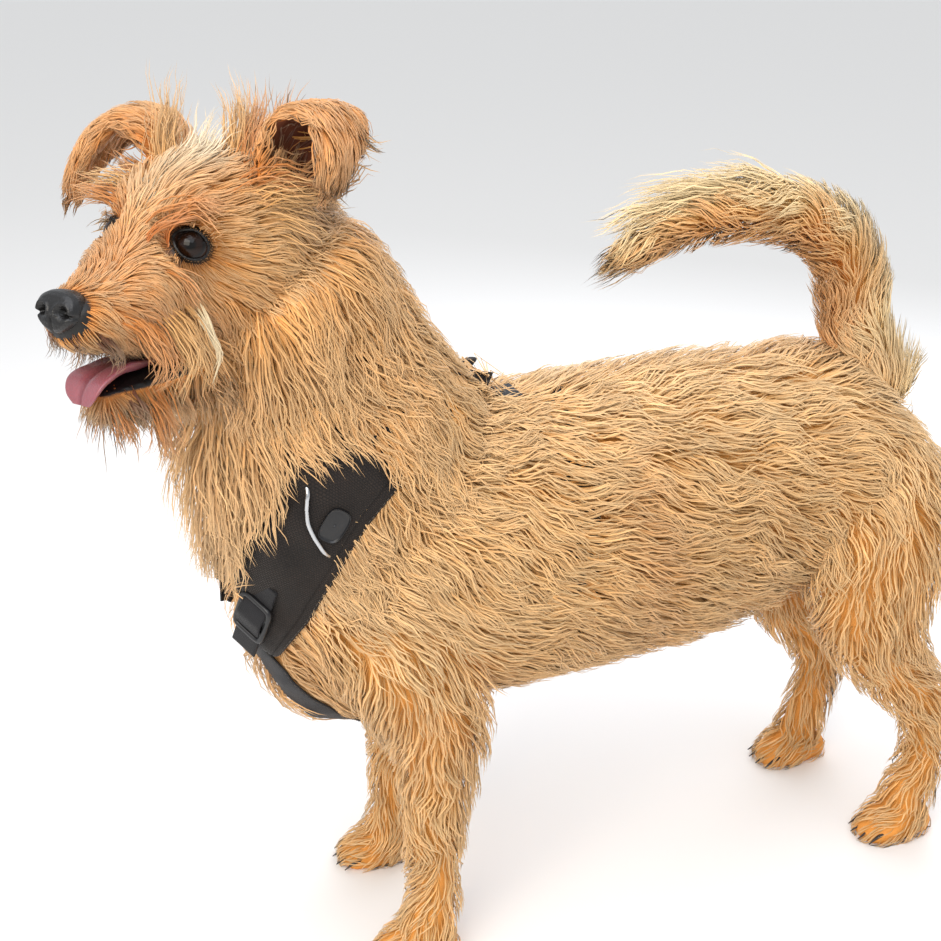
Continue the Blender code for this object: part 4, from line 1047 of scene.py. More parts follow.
def growLocks(root, at, rings):
    # A lock's middle line. Over the skin it follows the lie in equal steps and rises as
    # depth * (1 - (1 - t)^1.9); free of the skin it runs straight and bends with gravity. Cling mixes the
    # two. Waves across and outwards are sines of the length, and neighbours gather towards one of them.
    count = len(root)
    random = rng.uniform(-1, 1, (count, 6))
    t = np.arange(rings + 1) / rings
    values = {k: fieldAt[k][at] for k in ("depth", "length", "width", "curl", "wave", "cling", "fall")}
    loose = rng.uniform(0, 1, count) < lockSet["loose"]
    values["cling"] = values["cling"] * np.where(loose, 0.55, 1)
    values["width"] = values["width"] * np.where(loose, 0.55, 1)
    length = values["length"] * (1 + lockSet["lengthVary"] * random[:, 0])
    low, high = lockSet["reach"]
    rise = low + (high - low) * (0.5 + 0.5 * random[:, 1]) ** 0.6
    swirl = lockSet["swirl"] * (ripple(root, 46, 21) + 0.7 * ripple(root, 21, 23))
    turn = np.radians(swirl + lockSet["stray"] * random[:, 2])

    def turned(direction, normal):
        return unit(direction * np.cos(turn)[:, None] + np.cross(normal, direction) * np.sin(turn)[:, None])

    place, normal = root, smoothNormals[at]
    over, normals = [place], [normal]
    step = (length / rings)[:, None]
    for _ in range(rings):
        place, at, normal = stepOver(place + turned(lie[at], normal) * step, at)
        over.append(place)
        normals.append(normal)
    over, normals = np.stack(over, 1), np.stack(normals, 1)
    profile = (1 - (1 - t) ** 1.9)[None, :, None]
    over = over + normals * profile * (values["depth"] * rise)[:, None, None]
    slope = np.clip(values["depth"] * rise / length, 0, 0.93)
    start = unit(over[:, 1] - over[:, 0])
    flat = unit(start - dots(start, normals[:, 0]) * normals[:, 0])
    aim = flat * np.sqrt(1 - slope**2)[:, None] + normals[:, 0] * slope[:, None]
    free = root[:, None] + aim[:, None] * (t * length[:, None])[..., None]
    free[..., 2] -= (values["fall"] * length)[:, None] * t**2
    cling = values["cling"][:, None, None]
    line = over * cling + free * (1 - cling)

    leaders = np.arange(0, count, lockSet["clumpEvery"])
    away, mine = nearest(root, root[leaders])
    phase = 7 * ripple(root, 60, 22)[leaders][mine] + rng.uniform(-0.8, 0.8, len(leaders))[mine]
    phase = phase + 0.5 * random[:, 3]
    size = values["curl"] * (1 + lockSet["curlVary"] * random[:, 4])
    way = 2 * np.pi * t * (length / values["wave"])[:, None] + phase[:, None]
    ramp = (t**0.8)[None, :]
    along = unit(np.gradient(line, axis=1))
    across = unit(np.cross(normals, along))
    line = line + across * (size[:, None] * np.sin(way) * ramp)[..., None]
    line = line + normals * (lockSet["lift"] * size[:, None] * np.sin(way + 1.4) * ramp)[..., None]
    pull = lockSet["gather"] * np.exp(-((away / 9) ** 2))[:, None] * t[None] ** 1.4
    line = line + (line[leaders][mine] - line) * pull[..., None]
    line = clearStraps(line, count)
    if root[:, 0].min() < -150:
        line = clearEyes(line)
    return line, normals, t, values, mine


# near: how far a lock may be from a strap's middle and count; edge: the soft edge beside the strap; under: a
# pressed lock's height above the strap's inner face; most: a lock higher or lower than this is left alone.
crossing = {"near": 62, "edge": (2.0, 8.0), "under": -1.0, "most": 26}


def clearStraps(line, seed):
    # A lock that crosses a strap is pressed below it, or lies over it where the strap is grown over: the
    # strap's nearest spot gives a height above its inner face, and that is limited with a soft edge.
    count, rings = line.shape[:2]
    draw, low = np.random.default_rng(seed).uniform(0, 1, count), crossing["under"]
    for grid in strapGrids.values():
        middle = grid["outer"][::4, 3]
        far, _ = nearest(line[:, rings // 2], middle)
        close = np.flatnonzero(far < crossing["near"])
        if not len(close):
            continue
        spots, ways = grid["outer"][::2].reshape(-1, 3), grid["normal"][::2].reshape(-1, 3)
        columns = grid["outer"].shape[1]
        part = line[close]
        flatPart = part.reshape(-1, 3)
        away, which = nearest(flatPart, spots)
        above = dots(flatPart - spots[which], ways[which])[:, 0] + grid["thick"]
        beside = np.sqrt(np.maximum(away**2 - (above - grid["thick"]) ** 2, 0))
        firm = 1 - eased(beside, *crossing["edge"])
        inside = (firm > 0.5).reshape(len(close), rings)
        first = np.where(inside.any(1), inside.argmax(1), rings)
        share = grid["over"][(which // columns * 2).reshape(len(close), rings)[:, -1]]
        over = ((draw[close] < share) & ((first >= 2) | (share > 0.8))) | (first >= 0.55 * rings)
        over = np.repeat(over & ((first > 0) | (share > 0.8)), rings)
        under = np.where(~over & (above > low), low - above, 0)
        high = grid["thick"] + grid["crown"]
        raised = np.where(over & (above < high), high - above, 0)
        raised = np.where(np.tile(np.arange(rings), len(close)) < np.repeat(first, rings) - 1, 0, raised)
        step = (under + raised) * firm * (np.abs(above) < crossing["most"])
        line[close] = (flatPart + step[:, None] * ways[which]).reshape(part.shape)
    return line


def clearEyes(line):
    # A lock that would cross the open eye stops short of it: its line is drawn back along itself to the
    # last place outside an ellipse round the gaze.
    count, rings = line.shape[:2]
    head, stop = toHead(line), np.full(count, rings - 1.0)
    for sign in (1, -1):
        middle, axes = eyeAxes(sign)
        local = (head - middle) @ axes
        span = np.array(skinSet["eye"]["opening"]) * 1.04
        size = np.linalg.norm(local[..., :2] / span, axis=-1)
        inside = (size < 1) & (local[..., 2] > 2) & (local[..., 2] < 30)
        first = np.where(inside.any(1), inside.argmax(1), rings - 1)
        before, after = np.maximum(first - 1, 0), first
        outer, inner = size[np.arange(count), before], size[np.arange(count), after]
        share = np.clip((outer - 1) / np.maximum(outer - inner, 1e-3), 0.1, 1)
        stop = np.where(inside.any(1), np.minimum(stop, before + share), stop)
    at = np.linspace(0, 1, rings)[None] * stop[:, None]
    low = np.minimum(at.astype(int), rings - 2)
    rows = np.arange(count)[:, None]
    return line[rows, low] + (line[rows, low + 1] - line[rows, low]) * (at - low)[..., None]


def lockMesh(name, line, normals, t, width, colours, spot):
    # Each lock is a three-sided taper along its line: width * profile(t) across and less in height, with
    # a point at its tip and a closed root.
    count, rings = line.shape[0], line.shape[1] - 1
    along = unit(np.gradient(line, axis=1))
    across = unit(np.cross(normals, along))
    up = np.cross(along, across)
    taper = np.interp(t, (0, 0.2, 0.5, 0.8, 1), (0.55, 0.95, 1, 0.66, 0.2))[None, :, None]
    half = width[:, None, None] / 2 * taper
    angle = np.radians((90, 210, 330))[:, None, None, None]
    roll = rng.uniform(-0.5, 0.5, count)[None, :, None, None]
    points = line + half * (np.cos(angle + roll) * across + lockSet["flat"] * np.sin(angle + roll) * up)
    ways = unit(lockSet["round"] * (np.cos(angle + roll) * across + np.sin(angle + roll) * up) + normals)
    ways = ways.transpose(1, 2, 0, 3)[:, :rings].reshape(count, rings * 3, 3)
    ways = np.concatenate([ways, normals[:, -1:]], 1).reshape(-1, 3)
    points = points.transpose(1, 2, 0, 3)[:, :rings].reshape(count, rings * 3, 3)
    points = np.concatenate([points, line[:, -1:]], 1)
    points[..., 2] = np.maximum(points[..., 2], 0.3)
    each = rings * 3 + 1

    # one lock's faces as a pattern: quads between rings, three faces at the tip and one at the root
    k, j = np.meshgrid(np.arange(rings - 1), np.arange(3), indexing="ij")
    n = (j + 1) % 3
    quads = np.stack([k * 3 + j, k * 3 + n, (k + 1) * 3 + n, (k + 1) * 3 + j], -1).reshape(-1)
    quadU = np.stack([j, j + 1, j + 1, j], -1).reshape(-1) / 3
    quadV = np.stack([t[k], t[k], t[k + 1], t[k + 1]], -1).reshape(-1)
    last = (rings - 1) * 3
    tips = np.array([(last + a, last + (a + 1) % 3, each - 1) for a in range(3)]).reshape(-1)
    tipU = np.array([(a, a + 1, a + 0.5) for a in range(3)]).reshape(-1) / 3
    tipV = np.tile((t[rings - 1], t[rings - 1], 1.0), 3)
    pattern = np.r_[quads, tips, (0, 2, 1)]
    mapU, mapV = np.r_[quadU, tipU, (0, 0.66, 0.33)], np.r_[quadV, tipV, (0, 0, 0)]
    sizes = np.r_[np.full(3 * (rings - 1), 4), np.full(4, 3)]
    mesh = bpy.data.meshes.new(name)
    mesh.vertices.add(count * each)
    mesh.vertices.foreach_set("co", inFrame(points).ravel())
    loops = (pattern[None] + np.arange(count)[:, None] * each).ravel()
    mesh.loops.add(len(loops))
    mesh.loops.foreach_set("vertex_index", loops)
    mesh.polygons.add(count * len(sizes))
    starts = np.r_[0, np.cumsum(sizes)[:-1]][None] + np.arange(count)[:, None] * len(pattern)
    mesh.polygons.foreach_set("loop_start", starts.ravel())
    mesh.update(calc_edges=True)
    mesh.shade_smooth()
    mesh.normals_split_custom_set_from_vertices(ways.tolist())
    patch = np.stack([mapU - 0.5, mapV - 0.5], 1) * lockSet["patch"]
    atlas = mesh.uv_layers.new(name="OFBake")
    atlas.data.foreach_set("uv", (spot[:, None] + patch[None]).ravel())
    number = rng.uniform(0, 50, (count, 1))
    strand = mesh.uv_layers.new(name="strand")
    strand.data.foreach_set("uv", np.stack([mapU[None] + number.round(), mapV[None] + number], -1).ravel())
    shades = np.concatenate([np.repeat(colours[:, :rings], 3, 1), colours[:, -1:]], 1)
    paint(mesh, shades.reshape(-1, 3), "coatColour")
    return mesh


def alongLock(colour, t, turn):
    # Colours along a lock: deep at its root, its own at the share turn, and paler at its tip.
    deep = colour * lockSet["rootDark"]
    tip = colour + (linear(palette["cream"]) - colour) * lockSet["tipLight"]
    t = t[None, :, None]
    shade = deep[:, None] + (colour - deep)[:, None] * np.clip(t / turn, 0, 1)
    return shade + (tip[:, None] - shade) * np.clip((t - turn) / (1 - turn), 0, 1)


def shadeLocks(root, at, t, mine):
    # A lock takes the colour of the markings and painted shade at its root, and each clump and each lock
    # differs a little.
    colour = markingsAndShade(root, fieldAt["outer"][at], fieldAt["onEar"][at], fieldAt["inEar"][at] > 0.5)
    vary = lockSet["vary"]
    tone = 1 + vary * rng.uniform(-1, 1, mine.max() + 1)[mine] + vary * rng.uniform(-1, 1, len(root))
    tone *= 1 + 0.1 * ripple(root, 34, 31)
    warm = 1 + 0.05 * rng.uniform(-1, 1, len(root))
    return alongLock(colour * tone[:, None] * np.stack([np.ones(len(root)), warm, warm**2], 1), t, 0.45)


def unrolled(points, rows, side):
    # Places on an unwrap of a form: how far along its middle line, and the angle round it, from 0 to 1.
    rows = smoothRows([r[:3] for r in rows], 6)
    along = unit(np.gradient(rows, axis=0))
    across = unit(np.array(side, float) - dots(along, np.array(side, float)) * along)
    _, which = nearest(points, rows)
    local = points - rows[which]
    ahead = dots(local, along[which])[:, 0]
    far = runOf(rows)
    u = (far[which] + ahead + 30) / (far[-1] + 60)
    up = np.cross(across, along)
    angle = np.arctan2(dots(local, up[which])[:, 0], dots(local, across[which])[:, 0])
    return np.stack([u.clip(0, 1), angle / (2 * np.pi) + 0.5], 1)


def atlasSpots(name, root):
    # Each root's place on an unwrap of the skin's shape, spread over the whole map.
    if "Head" in name or "Ears" in name:
        rows = headRows([(r[0], 0, r[2] * 0.5 - 20, *r[3:]) for r in bodyForm["skull"]])
        spot = unrolled(root, rows, headSide)
        if "Ears" in name:
            far = np.linalg.norm(root - rows[1, :3], axis=1)
            spot = np.stack([(far / 130).clip(0, 1), spot[:, 1]], 1)
    elif "Legs" in name:
        rows = bodyForm["foreLeg" if "Fore" in name else "hindLeg"]
        right = root[:, 1] > 0
        spot = unrolled(np.stack([root[:, 0], np.abs(root[:, 1]), root[:, 2]], 1), rows, (0, 1, 0))
        spot[:, 1] = spot[:, 1] / 2 + right / 2
    else:
        rows = bodyForm["neck" if "Neck" in name else "tail" if "Tail" in name else "trunk"]
        spot = unrolled(root, rows, (0, 1, 0))
    low, high = spot.min(0), spot.max(0)
    return 0.01 + 0.98 * (spot - low) / (high - low)


def coatMaterial(name, roughness):
    # Dog hair: overlapping scales give a soft broken shine along each lock, and fine hairs show in it as
    # streaks about a third of a millimetre apart, drawn 0.5 mm wide so that they show.
    material, tree = newMaterial(name)
    strand = addNode(tree, "UVMap", {"uv_map": "strand"})
    stretch = addNode(tree, "Mapping", {"Scale": (7, 1.1, 1)}, {"Vector": (strand, "UV")})
    streak = addNode(tree, "TexNoise", {"Scale": 1.6, "Detail": 3, "Roughness": 0.6},
                     {"Vector": (stretch, "Vector")})
    tint = addNode(tree, "Attribute", {"attribute_name": "coatColour"})
    colour = varied(tree, (tint, "Color"), (streak, "Fac"), 0.66, 1.28, 0.3, 0.72)
    bump = addNode(tree, "Bump", {"Strength": 0.5, "Distance": 0.0004}, {"Height": (streak, "Fac")})
    shader = addNode(tree, "BsdfPrincipled", {
        "Roughness": roughness, "Specular IOR Level": 0.35, "IOR": 1.55, "Sheen Weight": 0.3,
        "Sheen Roughness": 0.45, "Sheen Tint": (1, 0.86, 0.66, 1)}, {"Base Color": (colour, "Vector")})
    closeMaterial(tree, shader, bump)
    return material


coatMaterials = {
    "golden_coat": coatMaterial("goldenTerrierHair", 0.52),
    "ginger_coat": coatMaterial("gingerTerrierHair", 0.5),
    "cream_coat": coatMaterial("creamTailHair", 0.55),
}
fleshNodes = {
    "Shoulder": ("trunk",), "Flank": ("trunk",), "Neck": ("neck",), "Head": ("skull", "jaw"),
    "Ears": ("ear_left", "ear_right"), "Tail": ("tail_base", "tail_middle", "tail_tip"),
    "ForeLegs": ("fore_leg_left", "fore_leg_right", "fore_paw_left", "fore_paw_right"),
    "HindLegs": ("hind_leg_left", "hind_leg_right", "hind_paw_left", "hind_paw_right"),
}


def makeCoat(name, where, slot, count, rings):
    # One piece of the coat: its roots, their locks' lines, their colours and the locks as one mesh.
    root, at = sowRoots(where, count)
    line, normals, t, values, mine = growLocks(root, at, rings)
    colours = shadeLocks(root, at, t, mine)
    width = values["width"] * rng.uniform(0.75, 1.25, count)
    mesh = lockMesh(name, line, normals, t, width, colours, atlasSpots(name, root))
    nodes = next(nodes for part, nodes in fleshNodes.items() if name.startswith("coat" + part))
    setPiece(name, mesh, coatMaterials[slot], nodes)
    print(name, count, "locks,", count * (6 * (rings - 1) + 4), "triangles")


# The hide's tone against the coat's markings and painted shade, and the black patch round the nose in the
# head's axes.
hideSet = {"tone": (1.12, 0.8, 0.4), "noseAt": (64, 0, -31), "noseRadii": (14, 16.5, 15)}


def finishSkin():
    # Hide under a coat: it carries the coat's markings and painted shade, darker, and is black and moist at
    # the lids, lips and in the mouth; the black in the mouth is painted shade for its dark opening.
    colour = markingsAndShade(skinPlaces, fieldAt["outer"], fieldAt["onEar"], fieldAt["inEar"] > 0.5)
    colour *= hideSet["tone"]
    black = np.maximum(1 - eased(lidRing, 1.3, 1.9), 1 - eased(lipAway, 2.2, 3.6))
    fromNose = np.linalg.norm((headSkin - hideSet["noseAt"]) / hideSet["noseRadii"], axis=1)
    # painted shade: inMouth turns the skin between the lips black, for the dark opening of the mouth
    black = np.maximum(np.maximum(black, inMouth), 1 - eased(fromNose, 1.0, 1.15))
    colour += (linear(palette["black"]) - colour) * black[:, None]
    paint(skinMesh, colour, "coatColour")
    moist = skinMesh.attributes.new("moist", "FLOAT", "POINT")
    moist.data.foreach_set("value", black)
    material, tree = newMaterial("hide")
    tint = addNode(tree, "Attribute", {"attribute_name": "coatColour"})
    moist = addNode(tree, "Attribute", {"attribute_name": "moist"})
    place = addNode(tree, "TexCoord")
    grain = addNode(tree, "TexNoise", {"Scale": 900, "Detail": 4}, {"Vector": (place, "Object")})
    colour = varied(tree, (tint, "Color"), (grain, "Fac"), 0.8, 1.2)
    rough = addNode(tree, "MapRange", {"To Min": 0.75, "To Max": 0.46}, {"Value": (moist, "Fac")})
    bump = addNode(tree, "Bump", {"Strength": 0.35, "Distance": 0.0004}, {"Height": (grain, "Fac")})
    shader = addNode(tree, "BsdfPrincipled", {"Specular IOR Level": 0.4},
                     {"Base Color": (colour, "Vector"), "Roughness": (rough, "Result")})
    closeMaterial(tree, shader, bump)
    skinMesh.transform(Matrix.Scale(mm, 4) @ Matrix.Translation(Vector(shift)))
    skinMesh.shade_smooth()
    covered = sorted({n for nodes in fleshNodes.values() for n in nodes})
    setPiece("skin", skinMesh, material, covered)


for name, (where, slot, count, rings) in coatPieces.items():
    makeCoat(name, where, slot, count, rings)
finishSkin()
print("coat made")


def gridMesh(name, points, caps=True):
    # Rings of points joined by quads, with a fan over both ends. Its map is in centimetres along and across.
    rows, columns = points.shape[:2]
    faces, flat, ends = ringQuads(rows, columns), points.reshape(-1, 3), np.arange(columns)
    if caps:
        flat = np.vstack([flat, points[0].mean(0), points[-1].mean(0)])
        for first, middle in ((0, len(flat) - 2), ((rows - 1) * columns, len(flat) - 1)):
            faces += np.stack([ends + first, np.roll(ends, -1) + first, np.full(columns, middle)], 1).tolist()
    mesh = plainMesh(name, inFrame(flat), faces)
    far = runOf(points.mean(1))
    wide = np.r_[0, np.cumsum(np.linalg.norm(np.diff(points, axis=1), axis=2).mean(0))]
    wide = np.r_[wide, wide[-1] + wide[1]]
    loops = np.empty(len(mesh.loops), int)
    mesh.loops.foreach_get("vertex_index", loops)
    u, v = wide[loops % columns], far[np.minimum(loops // columns, rows - 1)]
    # the quads that close a ring end at its full width
    closed = wide[np.stack([ends, ends + 1, ends + 1, ends], 1).ravel()]
    u[: len(closed) * (rows - 1)] = np.tile(closed, rows - 1)
    mesh.uv_layers.new(name="cloth").data.foreach_set("uv", (np.stack([u, v], 1) / 10).ravel())
    shape = bmesh.new()
    shape.from_mesh(mesh)
    bmesh.ops.recalc_face_normals(shape, faces=shape.faces)
    shape.to_mesh(mesh)
    shape.free()
    mesh.shade_smooth()
    return mesh


def plainShader(name, colour, settings, noise=900, bumpDepth=0.0002, spread=(0.8, 1.2), pebbled=False):
    # A colour that varies a little with a fine grain, which is a bump too. Without a colour the mesh's own
    # tone is used. noise is in cycles a metre.
    material, tree = newMaterial(name)
    place = addNode(tree, "TexCoord")
    kind, texture, output = "TexNoise", {"Scale": noise, "Detail": 4}, "Fac"
    if pebbled:
        kind, texture, output = "TexVoronoi", {"Scale": noise, "feature": "SMOOTH_F1"}, "Distance"
    grain = (addNode(tree, kind, texture, {"Vector": (place, "Object")}), output)
    if colour:
        tint = addNode(tree, "RGB")
        tint.outputs[0].default_value = (*linear(colour), 1)
    else:
        tint = addNode(tree, "Attribute", {"attribute_name": "tone"})
    mixed = varied(tree, (tint, "Color"), grain, *spread)
    bump = addNode(tree, "Bump", {"Strength": 0.6, "Distance": bumpDepth}, {"Height": grain})
    shader = addNode(tree, "BsdfPrincipled", settings, {"Base Color": (mixed, "Vector")})
    closeMaterial(tree, shader, bump)
    return material


eyeSet = {
    "ball": 10.1, "cornea": 0.75, "pupil": 0.24, "iris": 0.66, "columns": 56,
    "pupilTone": "#050403", "irisTone": "#1c0d06", "rimTone": "#0a0605", "white": "#30201a",
}


def makeEyes():
    # A ball with a cornea raised by exp(-(angle / 0.6)^2); its tone goes from pupil through iris to white.
    # A wet eye: clear and smooth, so it mirrors the lights sharply.
    wet = {"Roughness": 0.05, "IOR": 1.376, "Specular IOR Level": 0.42}
    material = plainShader("wetEye", None, wet, 2500, 0.00002, (0.7, 1.3))
    pupil, iris, columns = (eyeSet[k] for k in ("pupil", "iris", "columns"))
    for sign, side in ((1, "left"), (-1, "right")):
        middle, axes = eyeAxes(sign)
        fall = np.linspace(0.01, np.pi - 0.01, 40)
        turn = fullTurn(columns)
        far = eyeSet["ball"] + eyeSet["cornea"] * np.exp(-((fall / 0.6) ** 2))
        ring, ahead = far * np.sin(fall), np.repeat((far * np.cos(fall))[:, None], columns, 1)
        ball = np.stack([np.outer(ring, np.cos(turn)), np.outer(ring, np.sin(turn)), ahead], -1)
        mesh = gridMesh("eye", fromHead(middle + ball @ axes.T))
        angle = np.r_[np.repeat(fall, columns), 0, np.pi]
        tone = np.tile(linear(eyeSet["pupilTone"]), (len(angle), 1))
        for key, low, high in (("irisTone", pupil - 0.02, pupil + 0.05), ("rimTone", iris - 0.12, iris),
                               ("white", iris + 0.1, iris + 0.3)):
            tone += (linear(eyeSet[key]) - tone) * eased(angle, low, high)[:, None]
        paint(mesh, tone)
        setPiece(f"eyeball{side.title()}", mesh, material, [f"eye_{side}"])


noseSet = {
    "height": -28.5, "wide": 12.8, "above": 9.6, "below": 11.0, "front": 70.5, "back": 55, "tone": "#0b0a0b",
    "nostril": {"beside": 6.6, "radii": (2.5, 2.3), "depth": 4.8}, "slit": 2.6, "rim": 0.8, "groove": 1.5,
}


def makeNose():
    # Rings from the middle of the front to behind: radius r(v), forward f(v). Nostrils are pits of depth
    # exp(-d^2) with a slit that runs out to the side, and a groove runs down the middle.
    v = np.linspace(0, 1, 46)[:, None]
    u = fullTurn(96)[None]
    radius = np.interp(v, (0, 0.3, 0.5, 0.62, 0.74, 0.86, 1), (0.03, 0.5, 0.8, 0.95, 1.02, 1.0, 0.84))
    ahead = np.interp(v, (0, 0.3, 0.5, 0.62, 0.74, 0.86, 1), (1, 0.985, 0.93, 0.82, 0.62, 0.35, 0))
    boxy = boxed(u, 2.5)
    left = noseSet["wide"] * radius * np.cos(u) * boxy
    up = np.where(np.sin(u) > 0, noseSet["above"], noseSet["below"]) * radius * np.sin(u) * boxy
    left = left * np.where(up < 0, 1 - 0.45 * (up / noseSet["below"]) ** 2, 1)  # narrower below
    forward = noseSet["back"] + (noseSet["front"] - noseSet["back"]) * ahead - 0.22 * np.maximum(up, 0)

    nostril, side = noseSet["nostril"], np.abs(left)
    beside, (wide, tall) = nostril["beside"], nostril["radii"]
    hole = nostril["depth"] * np.exp(-(((side - beside) / wide) ** 2 + ((up + 0.2) / tall) ** 2))
    slit = noseSet["slit"] * np.exp(-((up + 0.8 + 0.25 * (side - beside)) ** 2))
    hole += slit * eased(side, 6.5, 8.5) * (1 - eased(side, 12.0, 13.3)) * (forward > 60)
    ring = np.hypot((side - beside) / wide, (up - 0.2) / tall)
    rim = noseSet["rim"] * np.exp(-(((ring - 1.75) / 0.4) ** 2)) * (up > -2)
    groove = noseSet["groove"] * np.exp(-((left / 0.8) ** 2)) * eased(-up, 0.5, 3.5) * (v < 0.72)
    left = left * (1 - 0.05 * hole / 4)
    head = np.stack([forward - hole + rim - groove, left, up + noseSet["height"]], -1)
    mesh = gridMesh("nose", fromHead(head))
    # painted shade: the nostril pits are darkened by their depth
    pitShade = np.r_[(hole / nostril["depth"]).ravel(), 0, 0].clip(0, 1)
    paint(mesh, linear(noseSet["tone"]) * (1 - 0.85 * pitShade[:, None]))
    # Moist hairless skin: pebbles under a millimetre across with a soft wet shine.
    moist = {"Roughness": 0.4, "Specular IOR Level": 0.45, "Coat Weight": 0.12, "Coat Roughness": 0.2}
    material = plainShader("noseLeather", None, moist, 1050, 0.00035, (0.7, 1.5), pebbled=True)
    setPiece("noseLeatherPad", mesh, material, ["nose"])


# The tongue's rows: forward, left, up, half width, half thickness.
tongueRows = [
    (-4, 0, -58, 11, 2.6), (10, 0.5, -59, 13, 2.8), (22, 1, -60, 14.4, 3), (32, 1.4, -61.2, 15, 3),
    (40, 1.7, -63.4, 15, 2.9), (46, 2, -66.8, 14, 2.8), (49.2, 2, -71.5, 11.4, 2.5), (50, 2, -76.5, 6, 1.9),
]
# tip is the tongue's own tone; groove and back are painted shade, darker down its middle groove and towards
# the back of the mouth
tongueSet = {"columns": 48, "side": (0.08, 1, 0.12), "tip": "#8d4d56", "groove": "#76363f", "back": "#4d1d22"}


def makeTongue():
    # A flat loft whose section is width * cos a, thickness * sin a, with a groove down its middle and its
    # edges curled up by |x|^3.
    rows = smoothRows(tongueRows, 8)
    centres, side = rows[:, :3], np.array(tongueSet["side"])
    along = unit(np.gradient(centres, axis=0))
    across = unit(side - dots(side, along) * along)
    upward = -np.cross(across, along)
    angle = fullTurn(tongueSet["columns"])
    x = np.sign(np.cos(angle)) * np.abs(np.cos(angle)) ** 0.8
    z = np.sin(angle)
    lift = 2.6 * np.abs(x) ** 3 - 1.5 * np.exp(-((x / 0.16) ** 2)) * (z > 0)
    height = rows[:, 4:5] * z + lift * np.minimum(rows[:, 3:4] / 14, 1) + 0.5 * np.sin(centres[:, :1] / 4) * x
    points = centres[:, None] + (rows[:, 3:4] * x)[..., None] * across[:, None]
    points = points + height[..., None] * upward[:, None]
    mesh = gridMesh("tongue", fromHead(points))
    # painted shade: the middle groove and the back of the tongue are darkened, where shade falls in the mouth
    groove = np.r_[np.repeat(np.exp(-((x / 0.12) ** 2))[None], len(rows), 0).ravel(), 0, 0]
    back = np.r_[np.repeat(eased(-centres[:, 0], -36, -10), len(angle)), 0, 0]
    tone = linear(tongueSet["tip"])
    tone = tone + (linear(tongueSet["groove"]) - tone) * groove[:, None]
    paint(mesh, tone + (linear(tongueSet["back"]) - tone) * back[:, None])
    # A tongue: fine papillae under a film of water, so it is matt pink with small sharp lights.
    flesh = {"Roughness": 0.42, "Specular IOR Level": 0.5, "Coat Weight": 0.45, "Coat Roughness": 0.15,
             "Subsurface Weight": 0.15, "Subsurface Scale": 0.003}
    material = plainShader("tongueFlesh", None, flesh, 1300, 0.0003, (0.85, 1.12), pebbled=True)
    setPiece("tongueBlade", mesh, material, ["tongue"])


makeEyes()
makeNose()
makeTongue()
print("face details made")

